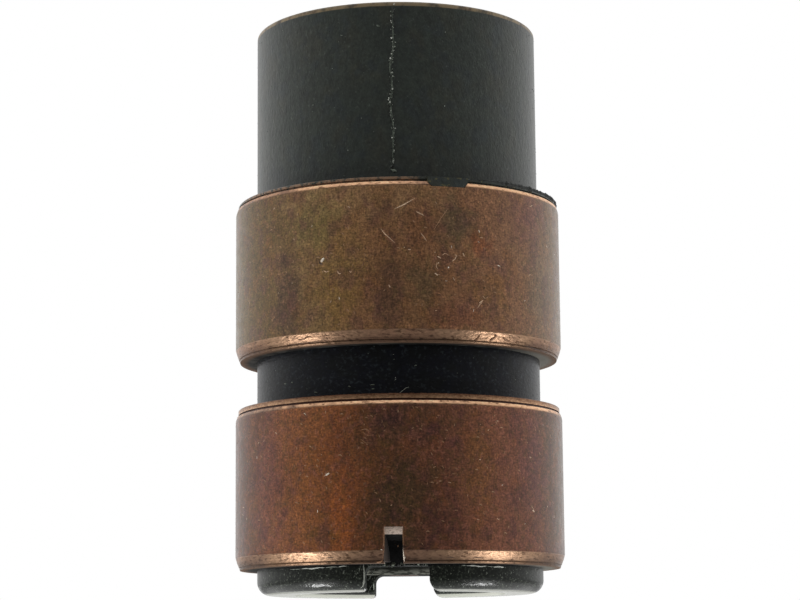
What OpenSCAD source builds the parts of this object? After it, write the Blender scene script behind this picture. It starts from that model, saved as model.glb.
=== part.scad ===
// Alternator slip ring unit: two copper rings on a moulded phenolic body.
// The part stands on its two feet, with the shaft bore along Z and the wire slot at the front (-Y).

/* [Copper rings] */
// Outer diameter of both rings, where the brushes run
ring_d = 28; // [26:0.5:36]
// Length of the brush track of each ring, along the shaft
ring_len = 13.15; // [10:0.05:18]
// Radial thickness of the copper
ring_wall = 2.4; // [2.1:0.1:2.8]
// How far the copper stands proud of the moulding
ring_step = 1.85; // [1.2:0.05:2]
// Free length of moulding between the two rings
ring_gap = 4.15; // [3:0.05:8]
// Height of the scraped bevel round the lower edge of each ring
low_bevel_h = 1.1; // [0.3:0.1:2]
// Radial depth of the scraped bevel
low_bevel_in = 0.35; // [0.1:0.05:0.6]
// Height of the fine bevel round the upper edge of each ring
top_bevel_h = 0.3; // [0.1:0.05:0.6]
// Radial depth of the fine bevel
top_bevel_in = 0.12; // [0.05:0.01:0.3]
// Width of the fine seam turned above each brush track
seam_w = 0.1; // [0.05:0.01:0.2]
// Radial depth of the seam
seam_in = 0.4; // [0.3:0.05:0.6]
// Height of the narrow land above the seam
land_h = 0.4; // [0.2:0.05:0.8]
// How far the land lies inside the brush track, radially
land_in = 0.23; // [0.1:0.01:0.28]

/* [Ring anchoring] */
// Height of the dovetail groove inside each ring, at its mouth
dovetail_mouth = 2.6; // [1.5:0.1:4]
// Height of the dovetail groove at its root
dovetail_root = 3.6; // [2:0.1:5]
// Radial depth of the dovetail groove
dovetail_depth = 0.7; // [0.3:0.1:1]
// Width of the notch in the upper edge of the upper ring, at its mouth
notch_w = 3.5; // [2:0.1:6]
// How far each side of the notch leans in at its root
notch_lean = 0.3; // [0.1:0.1:0.6]
// Depth of the notch, along the shaft
notch_depth = 0.4; // [0.3:0.05:1.5]
// Angle of the notch from the front, towards +X
notch_at = 19.5; // [10:0.5:80]

/* [Moulded body] */
// Diameter of the bore for the rotor shaft
bore_d = 17; // [13:0.5:20]
// Free length of the sleeve above the upper ring
sleeve_len = 15.2; // [8:0.1:25]
// Radius round the outer edge of the sleeve's end
sleeve_round = 0.2; // [0.1:0.05:0.8]
// Width of the chamfer at both ends of the bore
bore_chamfer = 0.5; // [0.2:0.1:0.8]
// Height of the two feet below the end face
feet_h = 2; // [1.5:0.1:3]
// Radius round the lower outer edge of the feet
feet_round = 1.1; // [0.3:0.1:1.3]
// Width of the gap between the feet
gap_w = 5.2; // [3:0.1:8]
// Radius where the gap's left wall meets the end face, seen from the front
left_fillet = 0.7; // [0.1:0.1:0.7]
// Radius where its right wall meets the end face
right_fillet = 0.2; // [0.1:0.1:0.6]
// Radius round the left foot's lower edge in the gap
left_round = 0.3; // [0.1:0.1:0.8]
// Radius round the right foot's lower edge in the gap
right_round = 0.9; // [0.1:0.1:0.9]
// How far the lower ring's edge lies above the end face
ring_set_back = 0.1; // [0.05:0.05:0.5]
// Gap left between the moulding and the copper that it holds
mould_gap = 0.01; // [0.005:0.005:0.03]

/* [Wire slot] */
// Width of the sawn slot for the winding's end
slot_w = 1.5; // [1:0.1:2.5]
// Height of the slot in the lower ring's outer face
slot_h = 2.85; // [1.5:0.05:4]
// Diameter of the saw that cut the slot
saw_d = 10; // [9:0.5:12]
// How far the saw's centre lay outside the ring
saw_out = 0.6; // [0.2:0.1:1]

/* [Lead of the upper ring] */
// Width of the copper strip
lead_w = 2.5; // [1.5:0.1:4]
// Thickness of the copper strip
lead_t = 0.6; // [0.4:0.1:0.8]
// Radius on the inside of the strip's bend
lead_bend = 0.4; // [0.3:0.1:0.6]
// Height of the strip's foot above the upper ring's lower edge
lead_rise = 1.6; // [1:0.1:2.5]

/* [Hidden] */
$fn = 180;

// Overrun of a cut past the face that it opens
over = 1;

// Radii
ring_r = ring_d / 2;
seat_r = ring_r - ring_wall;
body_r = ring_r - ring_step;
bore_r = bore_d / 2;
land_r = ring_r - land_in;
seam_r = ring_r - seam_in;

// Heights
low_ring_z = feet_h + ring_set_back;
low_ring_h = ring_len + land_h;
up_ring_z = low_ring_z + low_ring_h + ring_gap;
collar_z = up_ring_z + ring_len;
sleeve_z = collar_z + land_h;
total_h = sleeve_z + sleeve_len;

// Middle of the wall under the rings, where the strip runs
wall_r = (bore_r + seat_r) / 2;
lead_foot_z = up_ring_z + lead_rise;
// The bend keeps a straight foot as long as its own radius, so a thin wall limits it
bend_r = min(lead_bend, (seat_r - wall_r - lead_t / 2) / 2);

// Corner that a round edge takes off, with the material towards -X and +Y
module edge_round(rad) {
    difference() {
        translate([-rad, -over])
            square([rad + over, rad + over]);
        translate([-rad, rad])
            circle(r = rad);
    }
}

// Dovetail inside a ring's seat, centred on its brush track, grown by a margin on every face
module dovetail(margin) {
    polygon([
        [wall_r, ring_len / 2 - dovetail_mouth / 2 - margin],
        [seat_r, ring_len / 2 - dovetail_mouth / 2 - margin],
        [seat_r + dovetail_depth + margin, ring_len / 2 - dovetail_root / 2 - margin],
        [seat_r + dovetail_depth + margin, ring_len / 2 + dovetail_root / 2 + margin],
        [seat_r, ring_len / 2 + dovetail_mouth / 2 + margin],
        [wall_r, ring_len / 2 + dovetail_mouth / 2 + margin]
    ]);
}

// Half section of the brush track, with its two bevels and the dovetail groove
module track_section() {
    difference() {
        polygon([
            [seat_r, 0],
            [ring_r - low_bevel_in, 0],
            [ring_r, low_bevel_h],
            [ring_r, ring_len - top_bevel_h],
            [ring_r - top_bevel_in, ring_len],
            [seat_r, ring_len]
        ]);
        dovetail(0);
    }
}

// Half section of the land above a brush track, with the seam below it
module land_section(inner_r) {
    polygon([
        [inner_r, 0],
        [seam_r, 0],
        [seam_r, seam_w],
        [land_r, seam_w],
        [land_r, land_h],
        [inner_r, land_h]
    ]);
}

// Notch in the upper edge of the upper ring, cut straight in towards the shaft
module notch(margin, rise) {
    half = notch_w / 2 - margin;
    rotate([0, 0, notch_at])
        translate([0, -wall_r, collar_z])
            rotate([90, 0, 0])
                linear_extrude(ring_r - wall_r + over)
                    polygon([
                        [-half, rise],
                        [-half, 0],
                        [-half + notch_lean, margin - notch_depth],
                        [half - notch_lean, margin - notch_depth],
                        [half, 0],
                        [half, rise]
                    ]);
}

// Slot that the saw left at the front, through the lower ring and into the moulding
module wire_slot() {
    saw_r = saw_d / 2;
    top_z = low_ring_z + slot_h;
    translate([-slot_w / 2, -ring_r - saw_out, top_z - sqrt(saw_r * saw_r - saw_out * saw_out)])
        rotate([0, 90, 0])
            cylinder(r = saw_r, h = slot_w);
}

// Half of the gap's cross-section, on the +X side
module half_gap(fillet, rounding) {
    half = gap_w / 2;
    translate([0, -over])
        square([half, over + feet_h - fillet]);
    square([half - fillet, feet_h]);
    translate([half - fillet, feet_h - fillet])
        circle(r = fillet);
    translate([half, 0])
        mirror([1, 0])
            edge_round(rounding);
}

// Gap between the feet, from front to back
module feet_gap() {
    translate([0, body_r + over, 0])
        rotate([90, 0, 0])
            linear_extrude(2 * (body_r + over)) {
                half_gap(right_fillet, right_round);
                mirror([1, 0])
                    half_gap(left_fillet, left_round);
            }
}

// The strip: up inside the wall at the back, then out to the upper ring
module lead_shape(margin, start_z, end_r) {
    thick = lead_t + 2 * margin;
    wide = lead_w + 2 * margin;
    bend_in = bend_r - margin;
    inner = wall_r - thick / 2;
    turn_r = inner + thick + bend_in;
    turn_z = lead_foot_z - thick / 2 - bend_in;
    intersection() {
        rotate([0, 0, 90])
            translate([0, wide / 2, 0])
                rotate([90, 0, 0])
                    linear_extrude(wide) {
                        translate([inner, start_z])
                            square([thick, turn_z - start_z]);
                        translate([turn_r, turn_z + bend_in])
                            square([end_r - turn_r, thick]);
                        intersection() {
                            translate([turn_r, turn_z])
                                difference() {
                                    circle(r = bend_in + thick);
                                    circle(r = bend_in);
                                }
                            translate([inner, turn_z])
                                square(bend_in + thick);
                        }
                    }
        cylinder(r = end_r, h = total_h);
    }
}

module body_section() {
    difference() {
        translate([bore_r, 0])
            square([body_r - bore_r, total_h]);
        translate([body_r, 0])
            edge_round(feet_round);
        translate([body_r, total_h])
            mirror([0, 1])
                edge_round(sleeve_round);
        polygon([
            [bore_r - over, 0],
            [bore_r + bore_chamfer, 0],
            [bore_r, bore_chamfer],
            [bore_r - over, bore_chamfer]
        ]);
        polygon([
            [bore_r - over, total_h],
            [bore_r + bore_chamfer, total_h],
            [bore_r, total_h - bore_chamfer],
            [bore_r - over, total_h - bore_chamfer]
        ]);
        translate([seat_r - mould_gap, low_ring_z - mould_gap])
            square([ring_wall + over, low_ring_h + 2 * mould_gap]);
        translate([seat_r - mould_gap, up_ring_z - mould_gap])
            square([ring_wall + over, ring_len + 2 * mould_gap]);
    }
    for (z = [low_ring_z, up_ring_z])
        translate([0, z])
            dovetail(-mould_gap);
    translate([0, collar_z + mould_gap])
        land_section(wall_r);
}

module moulded_body() {
    color([0.16, 0.17, 0.17])
        difference() {
            union() {
                rotate_extrude()
                    body_section();
                intersection() {
                    notch(mould_gap, land_h);
                    cylinder(r = ring_r, h = total_h);
                }
            }
            feet_gap();
            wire_slot();
            lead_shape(mould_gap, feet_h - over, seat_r);
        }
}

module upper_slip_ring() {
    color([0.48, 0.35, 0.22])
        difference() {
            translate([0, 0, up_ring_z])
                rotate_extrude()
                    track_section();
            notch(0, over);
        }
}

module lower_slip_ring() {
    color([0.47, 0.28, 0.18])
        difference() {
            translate([0, 0, low_ring_z])
                rotate_extrude() {
                    track_section();
                    translate([0, ring_len])
                        land_section(seat_r);
                }
            wire_slot();
        }
}

module upper_ring_lead() {
    color([0.72, 0.45, 0.28])
        lead_shape(0, feet_h, seat_r - mould_gap);
}

moulded_body();
upper_slip_ring();
lower_slip_ring();
upper_ring_lead();
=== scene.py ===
import math
from functools import partial

import bpy
import bmesh
from mathutils import Matrix, Vector


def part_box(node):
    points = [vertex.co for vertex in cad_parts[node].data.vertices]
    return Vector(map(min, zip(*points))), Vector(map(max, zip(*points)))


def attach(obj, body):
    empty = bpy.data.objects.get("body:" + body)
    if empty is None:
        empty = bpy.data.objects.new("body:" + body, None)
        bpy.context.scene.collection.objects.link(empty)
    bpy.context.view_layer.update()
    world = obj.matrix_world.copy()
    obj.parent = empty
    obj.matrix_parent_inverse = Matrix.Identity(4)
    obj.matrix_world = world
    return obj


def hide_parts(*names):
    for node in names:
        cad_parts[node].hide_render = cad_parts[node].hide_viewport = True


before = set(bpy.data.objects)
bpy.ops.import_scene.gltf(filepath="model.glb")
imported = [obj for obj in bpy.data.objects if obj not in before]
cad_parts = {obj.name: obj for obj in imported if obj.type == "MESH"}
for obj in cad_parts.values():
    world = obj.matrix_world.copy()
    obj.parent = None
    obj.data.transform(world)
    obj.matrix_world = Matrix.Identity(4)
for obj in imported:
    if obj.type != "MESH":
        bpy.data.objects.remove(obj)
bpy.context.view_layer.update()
mm = 0.001  # sizes below are in millimetres
print("frame loaded:", ", ".join(sorted(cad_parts)))


def cadCorners(node):
    # A CAD node's low and high corners in millimetres
    return [[round(value / mm, 2) for value in corner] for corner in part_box(node)]


(_, _, upperFoot), (ringRadius, _, upperHead) = cadCorners("upper_slip_ring")
(_, _, lowerFoot), (_, _, lowerHead) = cadCorners("lower_slip_ring")
totalHeight = cadCorners("moulded_body")[1][2]
trackRadius = ringRadius - 0.006  # leaves room inside the CAD box for scratches that stand up


def toLinear(hexColour):
    # sRGB hex to the linear colour that a socket takes
    parts = [int(hexColour[k:k + 2], 16) / 255 for k in (1, 3, 5)]
    return [p / 12.92 if p <= 0.04045 else ((p + 0.055) / 1.055) ** 2.4 for p in parts] + [1]


def addNode(tree, kind, values=(), stops=None, **settings):
    # One node: settings are its properties, stops fill its ramp, and values fill or link its
    # inputs, by name in a dictionary or from the first one on in a list
    node = tree.nodes.new(kind)
    for name, setting in settings.items():
        setattr(node, name, setting)
    pairs = values.items() if isinstance(values, dict) else enumerate(values)
    for key, value in pairs:
        if isinstance(key, str):
            socket = next(s for s in node.inputs if s.enabled and s.name == key)
        else:
            socket = node.inputs[key]
        if isinstance(value, bpy.types.Node):
            value = next(s for s in value.outputs if s.enabled)
        if isinstance(value, bpy.types.NodeSocket):
            tree.links.new(value, socket)
        elif isinstance(value, str) and value.startswith("#"):
            socket.default_value = toLinear(value)
        else:
            socket.default_value = value
    if stops:
        elements = node.color_ramp.elements
        while len(elements) < len(stops):
            elements.new(0.5)
        for element, (position, colour) in zip(elements, stops):
            element.position = position
            element.color = toLinear(colour)
    return node


def around(degrees, radius, height):
    # A point on the part: degrees from the front towards +X, millimetres from the axis and up
    turn = math.radians(degrees)
    return Vector((radius * math.sin(turn), -radius * math.cos(turn), height)) * mm


def linkNew(name, data):
    made = bpy.data.objects.new(name, data)
    bpy.context.scene.collection.objects.link(made)
    return made


# Camera: fitted to the rings' and the sleeve's outlines, so it looks up from just below the feet

camera = {
    "focalPixels": 2305.1,
    "photoWidth": 800,
    "photoHeight": 600,
    "distance": 197.3,
    "height": -5.806,
    "sideways": 0.03,
    "pitch": 8.975,
    "roll": -0.5166,
    "yaw": 0.0434,
    "azimuth": 2.1,
}


def cameraPlace():
    pitch, roll, yaw = (math.radians(camera[name]) for name in ("pitch", "roll", "yaw"))
    ahead = Vector((math.sin(yaw) * math.cos(pitch), math.cos(yaw) * math.cos(pitch), math.sin(pitch)))
    across = Vector((math.cos(yaw), -math.sin(yaw), 0))
    above = across.cross(ahead)
    right = across * math.cos(roll) + above * math.sin(roll)
    up = above * math.cos(roll) - across * math.sin(roll)
    place = Matrix((right, up, -ahead)).transposed().to_4x4()
    place.translation = Vector((camera["sideways"], -camera["distance"], camera["height"])) * mm
    return Matrix.Rotation(math.radians(camera["azimuth"]), 4, "Z") @ place


def addCamera():
    lens = bpy.data.cameras.new("camera")
    lens.sensor_width = 36
    lens.lens = camera["focalPixels"] / camera["photoWidth"] * lens.sensor_width
    lens.clip_start = 0.01
    lens.clip_end = 10
    viewer = linkNew("camera", lens)
    viewer.matrix_world = cameraPlace()
    bpy.context.scene.camera = viewer


def seenAlong(pixel):
    # The camera's place and the direction in which it sees a pixel of the photo
    place = cameraPlace()
    across = (pixel[0] - camera["photoWidth"] / 2) / camera["focalPixels"]
    up = (camera["photoHeight"] / 2 - pixel[1]) / camera["focalPixels"]
    return place.translation, place.to_3x3() @ Vector((across, up, -1))


def onPart(pixel, radius):
    # Where a pixel lies on a round surface of that radius, in millimetres
    eye, ray = seenAlong(pixel)
    a = ray.xy.length_squared
    b = eye.xy.dot(ray.xy)
    c = eye.xy.length_squared - (radius * mm) ** 2
    return eye + ray * (-b - math.sqrt(max(0, b * b - a * c))) / a


def onWall(pixel, x, lean):
    # Where a pixel lies on an upright wall: its place at the shaft axis in millimetres and how
    # far it leans for each millimetre towards the back
    eye, ray = seenAlong(pixel)
    return eye + ray * (x * mm - eye.x + lean * eye.y) / (ray.x - lean * ray.y)


addCamera()
print("camera set")


# Studio: a pale floor, a room that is dark only behind the camera, and softboxes that stand low
# at the sides, below the floor's level, as under a table that lets light through

studio = {
    "floorRings": [14, 18, 26, 40, 70, 130, 260, 900],
    "floorDrop": 0.015,
    "floorColour": "#f4f4f2",
    "floorGlow": 0.36,
    "fadeStart": 60,
    "fadeEnd": 260,
    "darkSide": (0.05, -1, 0),
    "roomTones": [  # from behind the part round to the dark side
        (0.0, "#ffffff"),
        (0.33, "#f5f5f5"),
        (0.5, "#cdcdcd"),
        (0.67, "#a8a8a8"),
        (0.82, "#8c8c8c"),
        (1.0, "#707070"),
    ],
    "ceilingTone": "#e6e6e6",
    "ceilingStart": 0.35,
    "ceilingEnd": 0.8,
    "tableTones": [  # from straight below up to the part's level, with the table's edge a dark band
        (0.0, "#ececec"),
        (0.62, "#f0f0f0"),
        (0.74, "#a0a0a0"),
        (0.84, "#8c8c8c"),
        (0.94, "#ffffff"),
    ],
    "softboxes": [
        # name, degrees from the front, elevation, distance, size, power
        ("left softbox", -69, -26, 400, 120, 0.26),
        ("right softbox", 76, -26, 400, 120, 0.22),
        ("low left softbox", -88, -47, 400, 80, 0.42),
        ("low right softbox", 93, -48, 400, 80, 0.32),
    ],
}


def addFloor():
    # It lies a hair below the feet, so their lower faces stay clear of it
    rings = studio["floorRings"]
    sides = 96
    level = -studio["floorDrop"]
    mesh = bpy.data.meshes.new("floor")
    points = [around(360 * k / sides, radius, level) for radius in rings for k in range(sides)]
    points.append(around(0, 0, level))
    faces = []
    for k in range(sides):
        n = (k + 1) % sides
        faces.append((len(points) - 1, k, n))
        for inner in range(0, (len(rings) - 1) * sides, sides):
            outer = inner + sides
            faces.append((inner + k, outer + k, outer + n, inner + n))
    mesh.from_pydata(points, [], faces)
    floor = linkNew("studio_floor", mesh)
    # Only the camera meets the floor, so light reaches the part from below as well
    floor.visible_diffuse = False
    floor.visible_glossy = False
    floor.visible_shadow = False

    # Matt painted board: it fades to plain light far away and is open to a camera below it
    board = bpy.data.materials.new("matt painted board")
    board.use_nodes = True
    board.node_tree.nodes.clear()
    add = partial(addNode, board.node_tree)
    coords = add("ShaderNodeTexCoord").outputs["Object"]
    reach = add("ShaderNodeVectorMath", [coords], operation="LENGTH")
    fade = add("ShaderNodeMapRange", {
        "Value": reach,
        "From Min": studio["fadeStart"] * mm,
        "From Max": studio["fadeEnd"] * mm,
    }, interpolation_type="SMOOTHSTEP")
    paint = add("ShaderNodeBsdfDiffuse", {"Color": studio["floorColour"]})
    lift = add("ShaderNodeEmission", {"Strength": studio["floorGlow"]})
    near = add("ShaderNodeAddShader", [paint, lift])
    far = add("ShaderNodeEmission", {"Strength": 1})
    top = add("ShaderNodeMixShader", [fade, near, far])
    below = add("ShaderNodeNewGeometry").outputs["Backfacing"]
    clear = add("ShaderNodeBsdfTransparent")
    whole = add("ShaderNodeMixShader", [below, top, clear])
    add("ShaderNodeOutputMaterial", {"Surface": whole})
    mesh.materials.append(board)


def addWorld():
    world = bpy.data.worlds.new("studio")
    bpy.context.scene.world = world
    world.use_nodes = True
    world.node_tree.nodes.clear()
    add = partial(addNode, world.node_tree)
    heading = add("ShaderNodeTexCoord").outputs["Generated"]
    toFront = add("ShaderNodeVectorMath", [heading, studio["darkSide"]], operation="DOT_PRODUCT")
    shade = add("ShaderNodeMapRange", {"Value": toFront, "From Min": -1, "From Max": 1})
    wall = add("ShaderNodeValToRGB", {"Fac": shade}, stops=studio["roomTones"])
    upward = add("ShaderNodeSeparateXYZ", [heading]).outputs["Z"]
    ceiling = add("ShaderNodeMapRange", {
        "Value": upward,
        "From Min": studio["ceilingStart"],
        "From Max": studio["ceilingEnd"],
    }, interpolation_type="SMOOTHSTEP")
    values = {"Factor": ceiling, "A": wall, "B": studio["ceilingTone"]}
    room = add("ShaderNodeMix", values, data_type="RGBA")
    sunk = add("ShaderNodeMapRange", {"Value": upward, "From Min": -1, "From Max": 0})
    table = add("ShaderNodeValToRGB", {"Fac": sunk}, stops=studio["tableTones"])
    values = {"Factor": 1, "A": room, "B": table}
    room = add("ShaderNodeMix", values, data_type="RGBA", blend_type="MULTIPLY")
    lit = add("ShaderNodeBackground", {"Color": room, "Strength": 1})
    plain = add("ShaderNodeBackground", {"Color": "#ffffff", "Strength": 1})
    seen = add("ShaderNodeLightPath").outputs["Is Camera Ray"]
    both = add("ShaderNodeMixShader", [seen, lit, plain])
    add("ShaderNodeOutputWorld", {"Surface": both})
    bpy.context.scene.view_settings.view_transform = "Standard"


def addLights():
    aim = Vector((0, 0, totalHeight / 2)) * mm
    for name, degrees, elevation, distance, size, power in studio["softboxes"]:
        lamp = bpy.data.lights.new(name, "AREA")
        lamp.size = size * mm
        lamp.energy = power
        rise = math.radians(elevation)
        place = around(degrees, distance * math.cos(rise), distance * math.sin(rise))
        softbox = linkNew(name, lamp)
        softbox.location = place
        softbox.rotation_euler = (aim - place).to_track_quat("-Z", "Y").to_euler()
        softbox.visible_camera = False


addFloor()
addWorld()
addLights()
print("studio set")


# Turning: a node tree spins a half section round the shaft axis, roughens its edges, then adds
# and cuts

def startTree(name, inputs):
    tree = bpy.data.node_groups.new(name, "GeometryNodeTree")
    for label, kind, default in inputs:
        socket = tree.interface.new_socket(label, in_out="INPUT", socket_type="NodeSocket" + kind)
        if default is not None:
            socket.default_value = default
    tree.interface.new_socket("Piece", in_out="OUTPUT", socket_type="NodeSocketGeometry")
    add = partial(addNode, tree)
    return tree, add, add("NodeGroupInput").outputs


def finishTree(add, given, shape, limit=None):
    # With a limit, nothing stands further from the shaft axis than that
    whole = add("GeometryNodeRealizeInstances", [shape])
    if limit:
        position = add("GeometryNodeInputPosition")
        flat = add("ShaderNodeVectorMath", [position, (1, 1, 0)], operation="MULTIPLY")
        reach = add("ShaderNodeVectorMath", [flat], operation="LENGTH").outputs["Value"]
        least = add("ShaderNodeMath", [reach, limit], operation="MINIMUM")
        share = add("ShaderNodeMath", [least, reach], operation="DIVIDE")
        shrink = add("ShaderNodeCombineXYZ", {"X": share, "Y": share, "Z": 1})
        inside = add("ShaderNodeVectorMath", [position, shrink], operation="MULTIPLY")
        whole = add("GeometryNodeSetPosition", {"Geometry": whole, "Position": inside})
    coated = add("GeometryNodeSetMaterial", {"Geometry": whole, "Material": given["Material"]})
    if "Lower material" in given:
        height = add("ShaderNodeSeparateXYZ", [add("GeometryNodeInputPosition")]).outputs["Z"]
        low = add("FunctionNodeCompare", {"A": height, "B": given["Split"]}, operation="LESS_THAN")
        values = {"Geometry": coated, "Selection": low, "Material": given["Lower material"]}
        coated = add("GeometryNodeSetMaterial", values)
    add("NodeGroupOutput", [coated])


def runTree(name, tree, base, values):
    # The modifier's inputs are set by identifier, then its result becomes a plain mesh
    piece = linkNew(name, base)
    modifier = piece.modifiers.new("build", "NODES")
    modifier.node_group = tree
    for item in tree.interface.items_tree:
        if item.item_type == "SOCKET" and item.in_out == "INPUT" and item.name in values:
            modifier[item.identifier] = values[item.name]
    shown = piece.evaluated_get(bpy.context.evaluated_depsgraph_get())
    mesh = bpy.data.meshes.new_from_object(shown)
    piece.modifiers.clear()
    piece.data = mesh
    bpy.data.meshes.remove(base)
    mesh.name = name
    print(name, len(mesh.polygons), "faces")
    return piece


def turningTree(name, adds, cuts, split=False):
    extras = ["Add"] * adds + ["Cut"] * cuts
    below = [("Lower material", "Material", None), ("Split", "Float", 0.0)] if split else []
    tree, add, given = startTree(name, [
        ("Section", "Geometry", None),
        ("Segments", "Int", 720),
        ("Wander size", "Float", 2.0),
        ("Facet size", "Float", 0.6),
        ("Seed", "Float", 1.0),
        ("Sharp angle", "Float", math.radians(40)),
        ("Material", "Material", None),
    ] + below + [(f"{kind} {k}", "Object", None) for k, kind in enumerate(extras)])

    # A flat sheet, one column for each segment and one row for each point of the section
    extent = add("GeometryNodeAttributeDomainSize", [given["Section"]], component="MESH")
    count = extent.outputs["Point Count"]
    rows = add("ShaderNodeMath", [count, 1], operation="ADD")
    columns = add("ShaderNodeMath", [given["Segments"], 1], operation="ADD")
    values = {"Size X": 1, "Size Y": 1, "Vertices X": columns, "Vertices Y": rows}
    sheet = add("GeometryNodeMeshGrid", values)
    spot = add("ShaderNodeSeparateXYZ", [add("GeometryNodeInputPosition")]).outputs
    turn = add("ShaderNodeMath", [spot["X"], 2 * math.pi, math.pi], operation="MULTIPLY_ADD")
    along = add("ShaderNodeMath", [spot["Y"], 0.5], operation="ADD")
    step = add("ShaderNodeMath", [along, count, 0.5], operation="MULTIPLY_ADD")
    index = add("ShaderNodeMath", [step, count], operation="MODULO")

    # The section's point for that row, with how far its edge wanders and how deep its facets are
    sampled = {}
    for label in ("position", "wander", "facet"):
        if label == "position":
            field = add("GeometryNodeInputPosition")
        else:
            field = add("GeometryNodeInputNamedAttribute", {"Name": label}, data_type="FLOAT")
        sampled[label] = add("GeometryNodeSampleIndex", {
            "Geometry": given["Section"],
            "Value": field,
            "Index": index,
        }, data_type="FLOAT_VECTOR" if label == "position" else "FLOAT", domain="POINT")
    profile = add("ShaderNodeSeparateXYZ", [sampled["position"]]).outputs
    sine = add("ShaderNodeMath", [turn], operation="SINE")
    cosine = add("ShaderNodeMath", [turn], operation="COSINE")
    place = add("ShaderNodeCombineXYZ", {
        "X": add("ShaderNodeMath", [sine, profile["X"]], operation="MULTIPLY"),
        "Y": add("ShaderNodeMath", [cosine, profile["X"]], operation="MULTIPLY"),
        "Z": profile["Z"],
    })
    shape = add("GeometryNodeSetPosition", {"Geometry": sheet, "Position": place})
    for label in ("wander", "facet"):
        shape = add("GeometryNodeStoreNamedAttribute", {
            "Geometry": shape,
            "Name": label,
            "Value": sampled[label],
        }, data_type="FLOAT", domain="POINT")
    shape = add("GeometryNodeMergeByDistance", {"Geometry": shape, "Distance": 0.001 * mm})
    shape = add("GeometryNodeFlipFaces", {"Mesh": shape})

    # Edges wander up and down the shaft, facets sink towards the axis
    position = add("GeometryNodeInputPosition")
    inMm = add("ShaderNodeVectorMath", {0: position, "Scale": 1 / mm}, operation="SCALE")
    shifted = add("ShaderNodeVectorMath", [inMm, given["Seed"]], operation="ADD")
    flat = add("ShaderNodeVectorMath", [shifted, (1, 1, 0)], operation="MULTIPLY")
    flatAway = add("ShaderNodeVectorMath", [position, (1, 1, 0)], operation="MULTIPLY")
    outward = add("ShaderNodeVectorMath", [flatAway], operation="NORMALIZE")
    wanderScale = add("ShaderNodeMath", [1, given["Wander size"]], operation="DIVIDE")
    drift = add("ShaderNodeTexNoise", {"Vector": flat, "Scale": wanderScale, "Detail": 2})
    drifted = add("ShaderNodeMath", [drift.outputs[0], 0.5], operation="SUBTRACT")
    wander = add("GeometryNodeInputNamedAttribute", {"Name": "wander"}, data_type="FLOAT")
    rise = add("ShaderNodeMath", [drifted, wander], operation="MULTIPLY")
    riseMm = add("ShaderNodeMath", [rise, 2 * mm], operation="MULTIPLY")
    up = add("ShaderNodeCombineXYZ", {"Z": riseMm})
    facetScale = add("ShaderNodeMath", [1, given["Facet size"]], operation="DIVIDE")
    cells = add("ShaderNodeTexVoronoi", {"Vector": shifted, "Scale": facetScale})
    crumble = add("ShaderNodeTexNoise", {"Vector": shifted, "Scale": facetScale, "Detail": 3})
    depth = add("ShaderNodeMath", [cells, crumble.outputs[0]], operation="MULTIPLY")
    facet = add("GeometryNodeInputNamedAttribute", {"Name": "facet"}, data_type="FLOAT")
    sink = add("ShaderNodeMath", [depth, facet], operation="MULTIPLY")
    sinkMm = add("ShaderNodeMath", [sink, -2 * mm], operation="MULTIPLY")
    inward = add("ShaderNodeVectorMath", {0: outward, "Scale": sinkMm}, operation="SCALE")
    move = add("ShaderNodeVectorMath", [up, inward], operation="ADD")
    shape = add("GeometryNodeSetPosition", {"Geometry": shape, "Offset": move})

    for k, kind in enumerate(extras):
        tool = add("GeometryNodeObjectInfo", [given[f"{kind} {k}"]]).outputs["Geometry"]
        if kind == "Add":
            both = add("GeometryNodeMeshBoolean", {1: shape}, operation="UNION", solver="MANIFOLD")
            tree.links.new(tool, both.inputs[1])
            shape = both
        else:
            values = [shape, tool]
            shape = add("GeometryNodeMeshBoolean", values, operation="DIFFERENCE", solver="MANIFOLD")
    shape = add("GeometryNodeSetShadeSmooth", {"Geometry": shape}, domain="FACE")
    bend = add("GeometryNodeInputMeshEdgeAngle").outputs["Unsigned Angle"]
    sharp = add("FunctionNodeCompare", {"A": bend, "B": given["Sharp angle"]}, operation="GREATER_THAN")
    values = {"Geometry": shape, "Selection": sharp, "Shade Smooth": False}
    crisp = add("GeometryNodeSetShadeSmooth", values, domain="EDGE")
    finishTree(add, given, crisp)
    return tree


def setValues(mesh, name, values):
    # One number for each point of the mesh
    mesh.attributes.new(name, "FLOAT", "POINT").data.foreach_set("value", values)


def halfSection(name, corners):
    # A closed loop of edges in the XZ plane. Each corner gives radius, height, the row spacing
    # up to the next corner, how far the edge wanders there and how deep its facets are.
    points = []
    for here, there in zip(corners, corners[1:] + corners[:1]):
        rows = max(1, round(math.dist(here[:2], there[:2]) / here[2]))
        for k in range(rows):
            points.append([a + (b - a) * k / rows for a, b in zip(here, there)])
    mesh = bpy.data.meshes.new(name)
    loop = [(k, (k + 1) % len(points)) for k in range(len(points))]
    mesh.from_pydata([(p[0] * mm, 0, p[1] * mm) for p in points], loop, [])
    setValues(mesh, "wander", [p[3] for p in points])
    setValues(mesh, "facet", [p[4] for p in points])
    return mesh


def linkShape(name, shape):
    mesh = bpy.data.meshes.new(name)
    shape.to_mesh(mesh)
    shape.free()
    return linkNew(name, mesh)


def solidFromRows(name, rows, place=Matrix()):
    # A closed solid through rows of points in millimetres, each row a loop
    shape = bmesh.new()
    rows = [[shape.verts.new(Vector(point) * mm) for point in row] for row in rows]
    for here, there in zip(rows, rows[1:]):
        for k in range(len(here)):
            n = (k + 1) % len(here)
            shape.faces.new((here[n], here[k], there[k], there[n]))
    shape.faces.new(rows[0])
    shape.faces.new(rows[-1][::-1])
    bmesh.ops.transform(shape, matrix=place, verts=shape.verts)
    bmesh.ops.recalc_face_normals(shape, faces=shape.faces)
    return linkShape(name, shape)


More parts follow.
